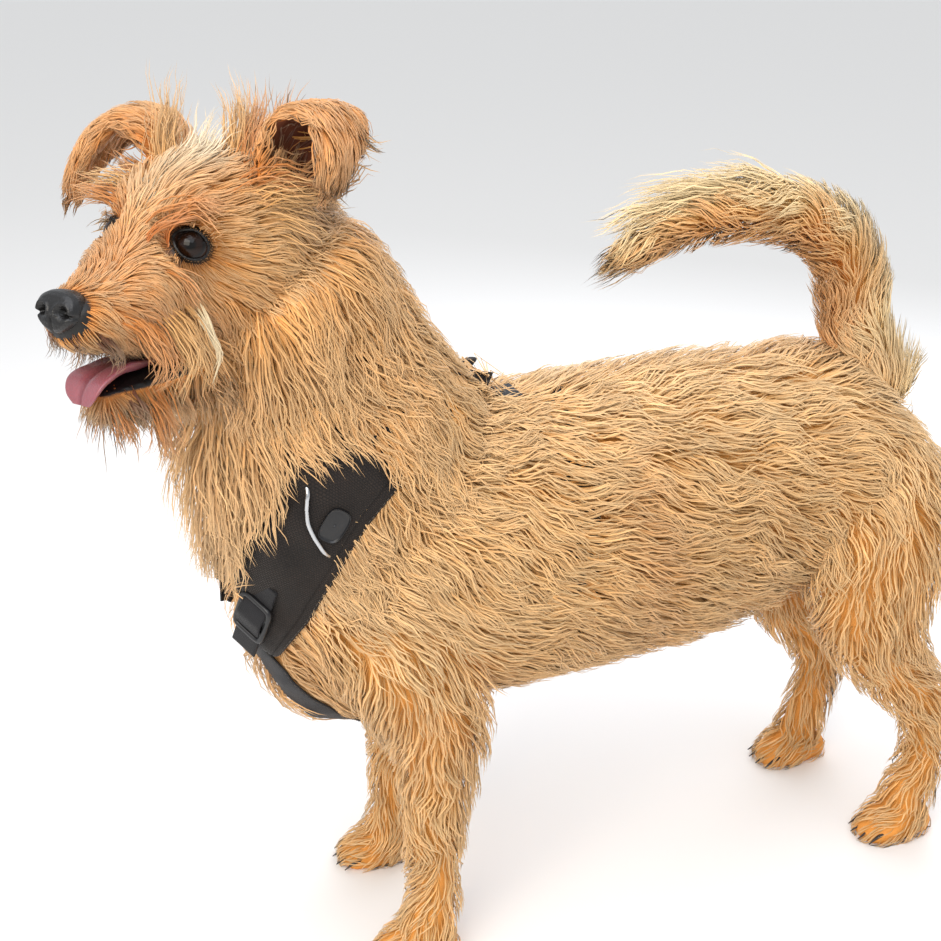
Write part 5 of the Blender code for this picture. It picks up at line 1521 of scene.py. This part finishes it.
# Wisps are locks that stand apart from the coat, each bundle along a curve of its own. A row is the sides it
# is on, its points, its number, its spread at root and tip, its width and its tone.
headWisps = [  # in the head's axes
    ((1,), [(3.5, 33, -21), (-1, 36, -33), (-7.7, 37.5, -45), (-8.5, 37.5, -58), (-6.5, 36, -70)],
     24, 1.6, 1.0, 1.1, "cream"),
    ((1, -1), [(48, 17, -28), (36, 25, -36), (27, 28, -48), (24, 28, -58), (29, 26, -66)],
     44, 5, 5, 0.85, "ginger"),
    ((1, -1), [(38, 22, -27), (26, 28, -40), (18, 30, -53), (20, 29, -63), (26, 27, -68)],
     50, 5, 6, 0.9, "ginger"),
    ((1, -1), [(28, 24, -24), (14, 30, -36), (6, 33, -50), (6, 31, -64), (12, 29, -73)],
     46, 5, 6, 0.95, "gold"),
    ((1, -1), [(16, 27, -26), (4, 32, -38), (-4, 34, -54), (-5, 32, -70)], 40, 6, 6, 0.95, "gold"),
    ((1, -1), [(54, 13, -36), (49, 18, -45), (45, 20, -53), (47, 19, -59)], 34, 4, 3, 0.7, "umber"),
    ((1, -1), [(60, 7, -41), (58, 9, -46), (57, 9, -51)], 26, 4, 2, 0.6, "umber"),
    ((1,), [(15, 15, 2), (16, 22, 11), (8, 29, 18), (-6, 36, 16)], 40, 3, 4, 0.8, "fox"),
    ((1,), [(10, 12, 10), (10, 20, 19), (0, 30, 24), (-14, 38, 20)], 50, 4, 5, 0.85, "ginger"),
    ((1,), [(20, 18, -6), (18, 24, -6), (10, 31, -14), (2, 35, -24)], 26, 3, 4, 0.8, "ginger"),
    ((1, -1), [(0, 20, 17), (3, 30, 22), (6, 39, 23), (8, 47, 20)], 80, 5, 6, 0.9, "ginger"),
    ((-1,), [(-4, 30, 6), (0, 35, 6), (3, 39, 3), (4, 42, -3)], 60, 5, 5, 0.9, "gold"),
    ((-1,), [(-8, 22, 22), (-3, 31, 29), (2, 40, 29), (5, 47, 25)], 60, 6, 6, 0.9, "gold"),
    ((-1,), [(-24, 17, 34), (-25, 18, 50), (-26, 17, 66), (-26, 15, 80)], 110, 7, 8, 0.95, "gold"),
    ((-1,), [(-22, 26, 32), (-22, 33, 34), (-22, 42, 36), (-22, 50, 37)], 60, 7, 6, 0.9, "ginger"),
    ((1,), [(-44, 13, 38), (-48, 14.5, 54), (-48, 13, 68), (-46, 11, 81)], 110, 7, 8, 0.95, "gold"),
    ((1,), [(-46, 20, 40), (-50, 22, 56), (-52, 24, 70), (-52, 26, 80)], 90, 7, 8, 0.95, "ginger"),
    ((1,), [(-50, 28, 42), (-58, 31, 58), (-62, 33, 70), (-64, 35, 79)], 60, 7, 8, 0.95, "ginger"),
    ((1,), [(-28, 34, 34), (-36, 42, 40), (-48, 51, 38), (-59, 58, 35)], 70, 8, 9, 0.9, "ginger"),
    ((1,), [(-24, 38, 26), (-36, 46, 31), (-50, 56, 29), (-60, 60, 22)], 70, 8, 9, 0.9, "gold"),
    ((1,), [(-26, 42, 16), (-38, 50, 18), (-52, 58, 14), (-60, 62, 6)], 50, 8, 8, 0.95, "gold"),
    ((1,), [(-64, 54, 56), (-73, 64, 58), (-80, 71, 56), (-86, 77, 52)], 50, 10, 5, 0.95, "gold"),
    ((1, -1), [(-14, 4, 28), (-26, 4, 38), (-38, 5, 48), (-50, 7, 60)], 70, 8, 9, 0.9, "pale"),
    ((1, -1), [(6, 3, 12), (-4, 4, 26), (-16, 5, 36), (-30, 6, 44)], 50, 6, 6, 0.8, "pale"),
    ((1, -1), [(34, 9, -76), (31, 11, -84), (27, 12, -93), (26, 11, -99)], 60, 6, 6, 0.9, "rust"),
    ((1, -1), [(30, 14, -70), (28, 17, -76), (24, 18, -84), (24, 16, -90)], 50, 4, 4, 0.8, "umber"),
    ((1, -1), [(14, 15, -74), (8, 17, -88), (3, 17, -100), (5, 15, -110)], 60, 7, 8, 1.0, "ginger"),
]
tailWisps = [
    ((1,), [(200, -8, 474), (172, -8, 485), (142, -8, 487), (112, -8, 482)], 110, 8, 8, 1.0, "straw"),
    ((1,), [(165, -8, 472), (140, -8, 477), (116, -8, 473), (92, -8, 464)], 120, 8, 8, 1.0, "straw"),
    ((1,), [(232, -6, 472), (206, -6, 488), (180, -6, 493), (150, -6, 492)], 80, 8, 8, 1.0, "straw"),
    ((1,), [(150, -6, 458), (124, -6, 456), (104, -6, 449), (88, -6, 440)], 110, 8, 6, 1.0, "gold"),
    ((1,), [(165, -6, 450), (138, -6, 446), (112, -6, 440), (86, -6, 432)], 90, 7, 5, 0.95, "sand"),
]


wispSet = {"reach": (0.62, 1.05), "clear": 3, "wave": 24, "curl": 1.3, "rings": 7}


def wispLines(onHead, guide, number, rootSpread, tipSpread, t):
    # Each lock runs along its bundle's curve to a length of its own. Its root is drawn onto the skin by
    # (1 - t)^1.6, its tip strays by t^1.5, it keeps above the skin, and it waves like the coat.
    far = runOf(guide)
    reach = far[-1] * rng.uniform(*wispSet["reach"], number)
    at = (t[None] * reach[:, None]).ravel()
    line = np.stack([np.interp(at, far, guide[:, k]) for k in range(3)], 1).reshape(number, -1, 3)
    off = rng.normal(size=(number, 1, 3)) * 0.6
    swing = rng.normal(size=(number, 1, 3)) * 0.6
    line = line + off * (rootSpread * (1 - t) + tipSpread * 0.5 * t)[None, :, None]
    line = line + swing * (tipSpread * t**1.5)[None, :, None]
    _, which = nearest(line[:, 0], skinPlaces)
    drawn = skinPlaces[which] - smoothNormals[which] - line[:, 0]
    line = line + drawn[:, None] * ((1 - t) ** 1.6)[None, :, None]
    _, which = nearest(line.reshape(-1, 3), skinPlaces)
    above = dots(line.reshape(-1, 3) - skinPlaces[which], smoothNormals[which])
    clear = np.tile(wispSet["clear"] * t, number)[:, None]
    lift = np.maximum(clear - above, 0) * (clear > 0)
    line = line + (lift * smoothNormals[which]).reshape(line.shape)
    way = 2 * np.pi * t[None] * (reach[:, None] / wispSet["wave"]) + rng.uniform(0, 2)
    way = way + rng.uniform(-0.6, 0.6, (number, 1))
    along = unit(np.gradient(line, axis=1))
    across = unit(np.cross(along, fromHead((0.62, 0.77, 0.1)) - headEyes))
    line = line + across * (wispSet["curl"] * np.sin(way) * t[None] ** 0.8)[..., None]
    return clearEyes(line) if onHead else line


def makeWisps(name, bundles, slot, nodes):
    # All the bundles of a list as one mesh of locks.
    lines, tones, widths, rings = [], [], [], wispSet["rings"]
    t, onHead = np.linspace(0, 1, rings + 1), bundles is headWisps
    for sides, points, number, rootSpread, tipSpread, width, tone in bundles:
        for sign in sides:
            guide = smoothRows(np.array(points, float) * (1, sign, 1), 8)
            guide = fromHead(guide) if onHead else guide
            lines.append(wispLines(onHead, guide, number, rootSpread, tipSpread, t))
            tones.append(np.tile(linear(palette[tone]), (number, 1)) * rng.uniform(0.82, 1.15, (number, 1)))
            widths.append(width * rng.uniform(0.6, 1.25, number))
    line, tone, width = np.concatenate(lines), np.concatenate(tones), np.concatenate(widths)
    _, which = nearest(line[:, 0], skinPlaces)
    normals = np.repeat(smoothNormals[which][:, None], rings + 1, 1)
    mesh = lockMesh(name, line, normals, t, width, alongLock(tone, t, 0.35), atlasSpots(name, line[:, 0]))
    setPiece(name, mesh, coatMaterials[slot], nodes)
    print(name, len(line), "locks,", len(line) * (6 * (rings - 1) + 4), "triangles")


makeWisps("coatHeadWisps", headWisps, "ginger_coat", fleshNodes["Head"])
makeWisps("coatTailWisps", tailWisps, "cream_coat", fleshNodes["Tail"])

clawSet = {"back": 14, "beside": (-12, -4.4, 4.4, 12), "high": 8.5, "drop": 6, "long": 16, "thick": 2.0}


def makeClaws():
    # Each claw is a rod that bends down by t^1.6, and its radius falls as 1 - 0.85 t^1.3; the outer toes
    # stand back by 0.03 * beside^2. Horn: dark, dense and a little glossy.
    glossy = {"Roughness": 0.35, "Specular IOR Level": 0.5}
    horn = plainShader("clawHorn", "#2a211b", glossy, 1400, 0.00005, (0.7, 1.4))
    t = np.linspace(0, 1, 12)
    for node in ("fore_paw_left", "fore_paw_right", "hind_paw_left", "hind_paw_right"):
        low, high = (np.array(corner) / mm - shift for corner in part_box(node))
        middle, claws = (low[1] + high[1]) / 2, []
        for beside in clawSet["beside"]:
            ahead = low[0] + clawSet["back"] + 0.03 * beside**2 - clawSet["long"] * t
            height = clawSet["high"] - clawSet["drop"] * t**1.6
            line = np.stack([ahead, middle + beside * (1 + 0.1 * t), height], 1)
            thick = clawSet["thick"] * (1 - 0.85 * t**1.3)
            claws.append(tube("claw", line, thick, around=14, up=(0, 0.01, 1)))
        end, _, side = node.split("_")
        setPiece(f"{end}Claws{side.title()}", joined("claws", claws), horn, [node])


harnessSet = {
    "padCrown": 1.6, "stitchGap": 3.2, "stitchLong": 2.1, "stitchWide": 0.45, "strapSink": 0.3,
    "wire": [(-112, -72, 358), (-113, -74, 345), (-110, -73, 328), (-100, -72, 310)],
    "wireRadius": 1.3, "wireRise": 4.2, "wireDepth": 2.4,
    "tab": (-99, -80, 333), "tabSize": (21, 14, 2.6),
    "adjuster": (-138, -40, 267), "adjusterSize": (28, 25), "adjusterStand": 2.6, "frameRadius": 1.7,
    "barRadius": 1.3, "barsAt": (-0.2, 0.2), "loopMore": 26, "loopNarrower": 6.5, "loopHalf": 0.7,
    # the webbing's height along the adjuster
    "hump": [(-30, -1.6), (-13, -1.4), (-7.5, 1.2), (-3, 2.6), (0, 3.4),
             (3, 2.6), (7.5, 1.2), (13, -1.4), (30, -1.6)],
}


def strapPoint(grid, u):
    # Places and outward directions on a strap at shares u of its width, from -0.5 to 0.5.
    columns = grid["outer"].shape[1]
    at = (u / gridShare + 1) / 2 * (columns - 1)
    low = np.clip(np.floor(at).astype(int), 0, columns - 2)
    part = (at - low)[:, None]
    place, normal = (grid[k][:, low] * (1 - part) + grid[k][:, low + 1] * part for k in ("outer", "normal"))
    return place, unit(normal)


def strapSolid(name, grid, top, sink=0.0, columns=15, grow=1):
    # A closed band: its upper face is the strap's place plus top(u, v), its lower face lies thick below, and
    # both close with half * (1 - |2u|^6)^(1/2) at the edges. grow puts more rows between the grid's own.
    u = 0.5 * np.sin(np.linspace(-np.pi / 2, np.pi / 2, columns))
    place, normal = strapPoint(grid, u)
    if grow > 1:
        rows = len(place)
        fine = np.linspace(0, rows - 1, (rows - 1) * grow + 1)
        low = np.minimum(fine.astype(int), rows - 2)
        share = (fine - low)[:, None, None]
        place = place[low] * (1 - share) + place[low + 1] * share
        normal = unit(normal[low] * (1 - share) + normal[low + 1] * share)
    edge = (1 - np.abs(2 * u).clip(0, 1) ** 6) ** (1 / 2)
    far = runOf(place[:, columns // 2])
    half = grid["thick"] / 2
    upper = place + normal * (-half - sink + (half + top(u[None], far[:, None])) * edge)[..., None]
    lower = place + normal * (-half - sink - half * edge)[..., None]
    return gridMesh(name, np.concatenate([upper, lower[:, ::-1]], 1)), upper, normal


def stitches(line, normal):
    # Stitches: short thread pieces laid along a line, each a six-sided rounded rod.
    far = runOf(line)
    middle = np.arange(3, far[-1] - 3, harnessSet["stitchGap"])
    pick = np.array([np.abs(far - m).argmin() for m in middle])
    place = np.stack([np.interp(middle, far, line[:, k]) for k in range(3)], 1)
    way, up = unit(np.gradient(line, axis=0))[pick], normal[pick]
    side = unit(np.cross(way, up))
    span, size, sides = harnessSet["stitchLong"] / 2, harnessSet["stitchWide"] / 2, 6
    t = np.array((-1, -0.8, 0, 0.8, 1.0))
    thick = np.array((0.3, 0.8, 1, 0.8, 0.3)) * size
    angle = fullTurn(sides)
    ring = np.cos(angle)[:, None] * side[:, None] + np.sin(angle)[:, None] * up[:, None]
    points = place[:, None, None] + way[:, None, None] * (t * span)[:, None, None]
    points = points + ring[:, None] * thick[:, None, None]
    points = points + up[:, None, None] * (0.25 - 0.35 * t**2)[:, None, None]
    starts = range(0, len(place) * len(t) * sides, len(t) * sides)
    faces = [[start + v for v in face] for start in starts for face in ringFaces(len(t), sides)]
    mesh = plainMesh("thread", inFrame(points.reshape(-1, 3)), faces)
    mesh.shade_smooth()
    return mesh


def tube(name, line, radius, around=16, closed=False, up=(0, 0, 1), flat=1.0, squareness=1.0):
    # A rod along a line: radius (cos a, flat sin a), its corners squared off by the power squareness.
    along = unit(np.roll(line, -1, 0) - np.roll(line, 1, 0) if closed else np.gradient(line, axis=0))
    side = unit(np.cross(along, np.broadcast_to(np.array(up, float), line.shape)))
    top = np.cross(side, along)
    angle = fullTurn(around)
    x, y = (np.sign(f) * np.abs(f) ** squareness for f in (np.cos(angle), np.sin(angle)))
    radius = np.broadcast_to(radius, len(line))[:, None, None]
    ring = x[None, :, None] * side[:, None] + flat * y[None, :, None] * top[:, None]
    points = line[:, None] + radius * ring
    if closed:
        points = np.concatenate([points, points[:1]], 0)
    return gridMesh(name, points, caps=not closed)


def joined(name, meshes):
    # Several meshes as one.
    shape = bmesh.new()
    for mesh in meshes:
        shape.from_mesh(mesh)
    bmesh.ops.remove_doubles(shape, verts=shape.verts, dist=1e-7)
    whole = bpy.data.meshes.new(name)
    shape.to_mesh(whole)
    shape.free()
    whole.shade_smooth()
    return whole


def clothMaterial(name, colour, weave, roughness, sheen):
    # Woven cloth: its threads are a brick pattern on the piece's own map, in centimetres, with a bump, and
    # a slow noise wears its colour. weave is a thread's length, its width and the gap.
    material, tree = newMaterial(name)
    cloth = addNode(tree, "UVMap", {"uv_map": "cloth"})
    place = addNode(tree, "TexCoord")
    long, wide, gap = weave
    thread = addNode(tree, "TexBrick", {
        "Scale": 1.0, "Mortar Size": gap, "Mortar Smooth": 1.0, "Brick Width": long, "Row Height": wide,
        "Color1": (1, 1, 1, 1), "Color2": (0.8, 0.8, 0.8, 1), "Mortar": (0.25, 0.25, 0.25, 1),
    }, {"Vector": (cloth, "UV")})
    wear = addNode(tree, "TexNoise", {"Scale": 45, "Detail": 5, "Roughness": 0.65},
                   {"Vector": (place, "Object")})
    tint = addNode(tree, "RGB")
    tint.outputs[0].default_value = (*linear(colour), 1)
    worn = varied(tree, (tint, "Color"), (wear, "Fac"), 0.65, 1.7, 0.3, 0.75)
    woven = addNode(tree, "VectorMath", {"operation": "MULTIPLY"},
                    {"0": (worn, "Vector"), "1": (thread, "Color")})
    ribs = {"Strength": 0.7, "Distance": 0.0004}
    bump = addNode(tree, "Bump", ribs, {"Height": (thread, "Color")})
    shader = addNode(tree, "BsdfPrincipled", {
        "Roughness": roughness, "Specular IOR Level": 0.35, "Sheen Weight": sheen, "Sheen Roughness": 0.4,
    }, {"Base Color": (woven, "Vector")})
    closeMaterial(tree, shader, bump)
    return material


def harnessMaterials():
    # Air-mesh padding: dark brown knitted cloth with rows of little holes, soft and without shine.
    padding = clothMaterial("airMeshPadding", "#251d18", (0.17, 0.14, 0.05), 0.8, 0.12)
    # Polyamide webbing: ribs under a millimetre high that catch a dull light.
    webbing = clothMaterial("polyamideWebbing", "#17161a", (0.22, 0.075, 0.022), 0.6, 0.06)
    # Moulded acetal: black, satin, with a faint moulded grain.
    satin = {"Roughness": 0.3, "Specular IOR Level": 0.5}
    plastic = plainShader("mouldedAcetal", "#141416", satin, 1500, 0.00006, (0.8, 1.25))
    # Bright steel wire: drawn, so it shines with fine lines.
    bright = {"Metallic": 1.0, "Roughness": 0.2}
    steel = plainShader("drawnSteelWire", "#c4c6c9", bright, 2200, 0.00003, (0.85, 1.1))
    # Bonded thread: round, with a faint twist.
    thread = plainShader("bondedThread", "#4b4640", {"Roughness": 0.6}, 3000, 0.00003)
    return {"padding": padding, "webbing": webbing, "plastic": plastic, "steel": steel, "thread": thread}


def padTop(u, v):
    # The pad's upper face: a crown by 1 - (2u)^2, a seam and a raised binding near each edge, a quilting
    # line inside it, and slow folds that fade by (2u)^4.
    crown = harnessSet["padCrown"] * (1 - (2 * u) ** 2)
    seam = -1.3 * np.exp(-(((np.abs(u) - 0.385) / 0.012) ** 2))
    binding = 0.5 * eased(np.abs(u), 0.385, 0.4)
    quilting = -0.7 * np.exp(-(((np.abs(u) - 0.28) / 0.01) ** 2))
    folds = 0.9 * np.sin(v / 5.3 + 2.2 * np.sin(v / 23) + 5 * u) * (1 - (2 * u) ** 4)
    return crown + seam + binding + quilting + folds * (0.5 + 0.5 * np.sin(v / 29 + 1 + 4 * u))


def padPlace(upper, normal, spot, sign):
    # The place on a pad nearest to a spot of the left side, mirrored for the right, and the directions
    # along the pad, across it and out of it.
    spot = np.array(spot, float) * (1, -sign, 1)
    _, which = nearest(spot[None], upper.reshape(-1, 3))
    row, column = divmod(int(which[0]), upper.shape[1])
    out = unit(normal[row, column])
    along = unit(upper[min(row + 3, len(upper) - 1), column] - upper[row - 3, column])
    return upper[row, column], along, np.cross(out, along), out


def makeRing(side, sign, upper, normal, steel):
    # The bent steel wire stands on the pad, and its ends go down into it.
    wire = smoothRows(np.array(harnessSet["wire"], float) * (1, -sign, 1), 10)
    _, which = nearest(wire, upper.reshape(-1, 3))
    share = np.linspace(0, 1, len(wire))
    lift = np.where(share < 0.5, eased(share, 0.0, 0.12), 1 - eased(share, 0.88, 1.0))
    lift = lift * harnessSet["wireRise"] - harnessSet["wireDepth"]
    line = upper.reshape(-1, 3)[which] + normal.reshape(-1, 3)[which] * lift[:, None]
    for _ in range(6):
        line[1:-1] = (line[:-2] + 2 * line[1:-1] + line[2:]) / 4
    mesh = tube("ring", line, harnessSet["wireRadius"])
    setPiece(f"ring{side.title()}", mesh, steel, [f"harness_ring_{side}"])


def makeTab(side, sign, upper, normal, plastic):
    # A moulded tab beside the wire: a squared oval whose rings close by cos^0.8, with a lower middle.
    place, along, across, out = padPlace(upper, normal, harnessSet["tab"], sign)
    long, wide, high = harnessSet["tabSize"]
    v = np.linspace(0, 1, 26)[:, None]
    angle = fullTurn(48)[None]
    size = np.where(v < 0.3, 1.0, np.cos((v - 0.3) / 0.7 * np.pi / 2) ** 0.8)
    boxy = boxed(angle, 3.2)
    height = np.interp(v, (0, 0.18, 0.3, 0.42, 0.5, 0.6, 1), (0, 0.8, 1.0, 0.98, 0.62, 0.55, 0.8))
    height = high * height - 0.6
    points = place + (size * boxy * np.cos(angle) * long / 2)[..., None] * along
    points = points + (size * boxy * np.sin(angle) * wide / 2)[..., None] * across + height[..., None] * out
    setPiece(f"tab{side.title()}", gridMesh("tab", points), plastic)


def makeAdjuster(side, sign, upper, normal, plastic, webbing):
    # The adjuster: a squared frame with two bars, and webbing that humps over them.
    place, along, across, out = padPlace(upper, normal, harnessSet["adjuster"], sign)
    middle = place + out * harnessSet["adjusterStand"]
    long, wide = harnessSet["adjusterSize"]
    angle = fullTurn(72)
    boxy = boxed(angle, 7)
    path = middle + (boxy * np.cos(angle) * (long / 2 - 1.6))[:, None] * along
    path = path + (boxy * np.sin(angle) * (wide / 2 - 1.6))[:, None] * across
    bars = [tube("frame", path, harnessSet["frameRadius"], closed=True, up=out, flat=1.05, squareness=0.75)]
    reach = np.linspace(-wide / 2 + 1, wide / 2 - 1, 12)[:, None]
    for at in harnessSet["barsAt"]:
        bar = middle + out * 0.5 + reach * across + at * long * along
        bars.append(tube("bar", bar, harnessSet["barRadius"], up=out, squareness=0.8))
    mesh = joined("adjuster", bars)
    setPiece(f"adjuster{side.title()}", mesh, plastic, [f"harness_adjuster_{side}"])

    run = (np.linspace(0, 1, 40) - 0.5) * (long + harnessSet["loopMore"])
    steps, heights = np.array(harnessSet["hump"]).T
    line = middle + run[:, None] * along + np.interp(run, steps, heights)[:, None] * out
    up = np.cross(unit(np.gradient(line, axis=0)), np.broadcast_to(across, line.shape))
    up *= np.sign(dots(up, out[None]))
    offsets = np.linspace(-0.5, 0.5, 9) * (wide - harnessSet["loopNarrower"])
    sheet, half = line[:, None] + offsets[None, :, None] * across, up[:, None] * harnessSet["loopHalf"]
    both = np.concatenate([sheet + half, (sheet - half)[:, ::-1]], 1)
    setPiece(f"loop{side.title()}", gridMesh("loop", both), webbing)


def strapTop(u, v):
    # A webbing strap's upper face: a low slow wave that fades by (2u)^2.
    return 0.12 * np.cos(v / 9) * (1 - (2 * u) ** 2)


def makeHarness():
    # Each pad with its stitches, wire, tab and adjuster, and then the straps and the thread.
    looks, thread = harnessMaterials(), []
    for sign, side in ((-1, "left"), (1, "right")):
        grid, node = strapGrids[f"shoulder_pad_{side}"], f"harness_shoulder_pad_{side}"
        mesh, upper, normal = strapSolid("pad", grid, padTop, columns=61, grow=2)
        pad = setPiece(f"shoulderPad{side.title()}", mesh, looks["padding"], [node])
        for column in (6, 54):
            out = normal[:, column]
            thread.append(stitches(upper[:, column] + out * 0.05, out))
        makeRing(side, sign, upper, normal, looks["steel"])
        makeTab(side, sign, upper, normal, looks["plastic"])
        makeAdjuster(side, sign, upper, normal, looks["plastic"], looks["webbing"])
    for name in ("chest_strap", "back_strap", "girth_strap"):
        mesh, upper, normal = strapSolid(name, strapGrids[name], strapTop, harnessSet["strapSink"], 19)
        setPiece(name.split("_")[0] + "Strap", mesh, looks["webbing"], [f"harness_{name}"])
        if name != "back_strap":
            thread += [stitches(upper[:, column], normal[:, column]) for column in (2, 16)]
    setPiece("harnessThread", joined("thread", thread), looks["thread"])


makeHarness()
print("harness made")
makeClaws()
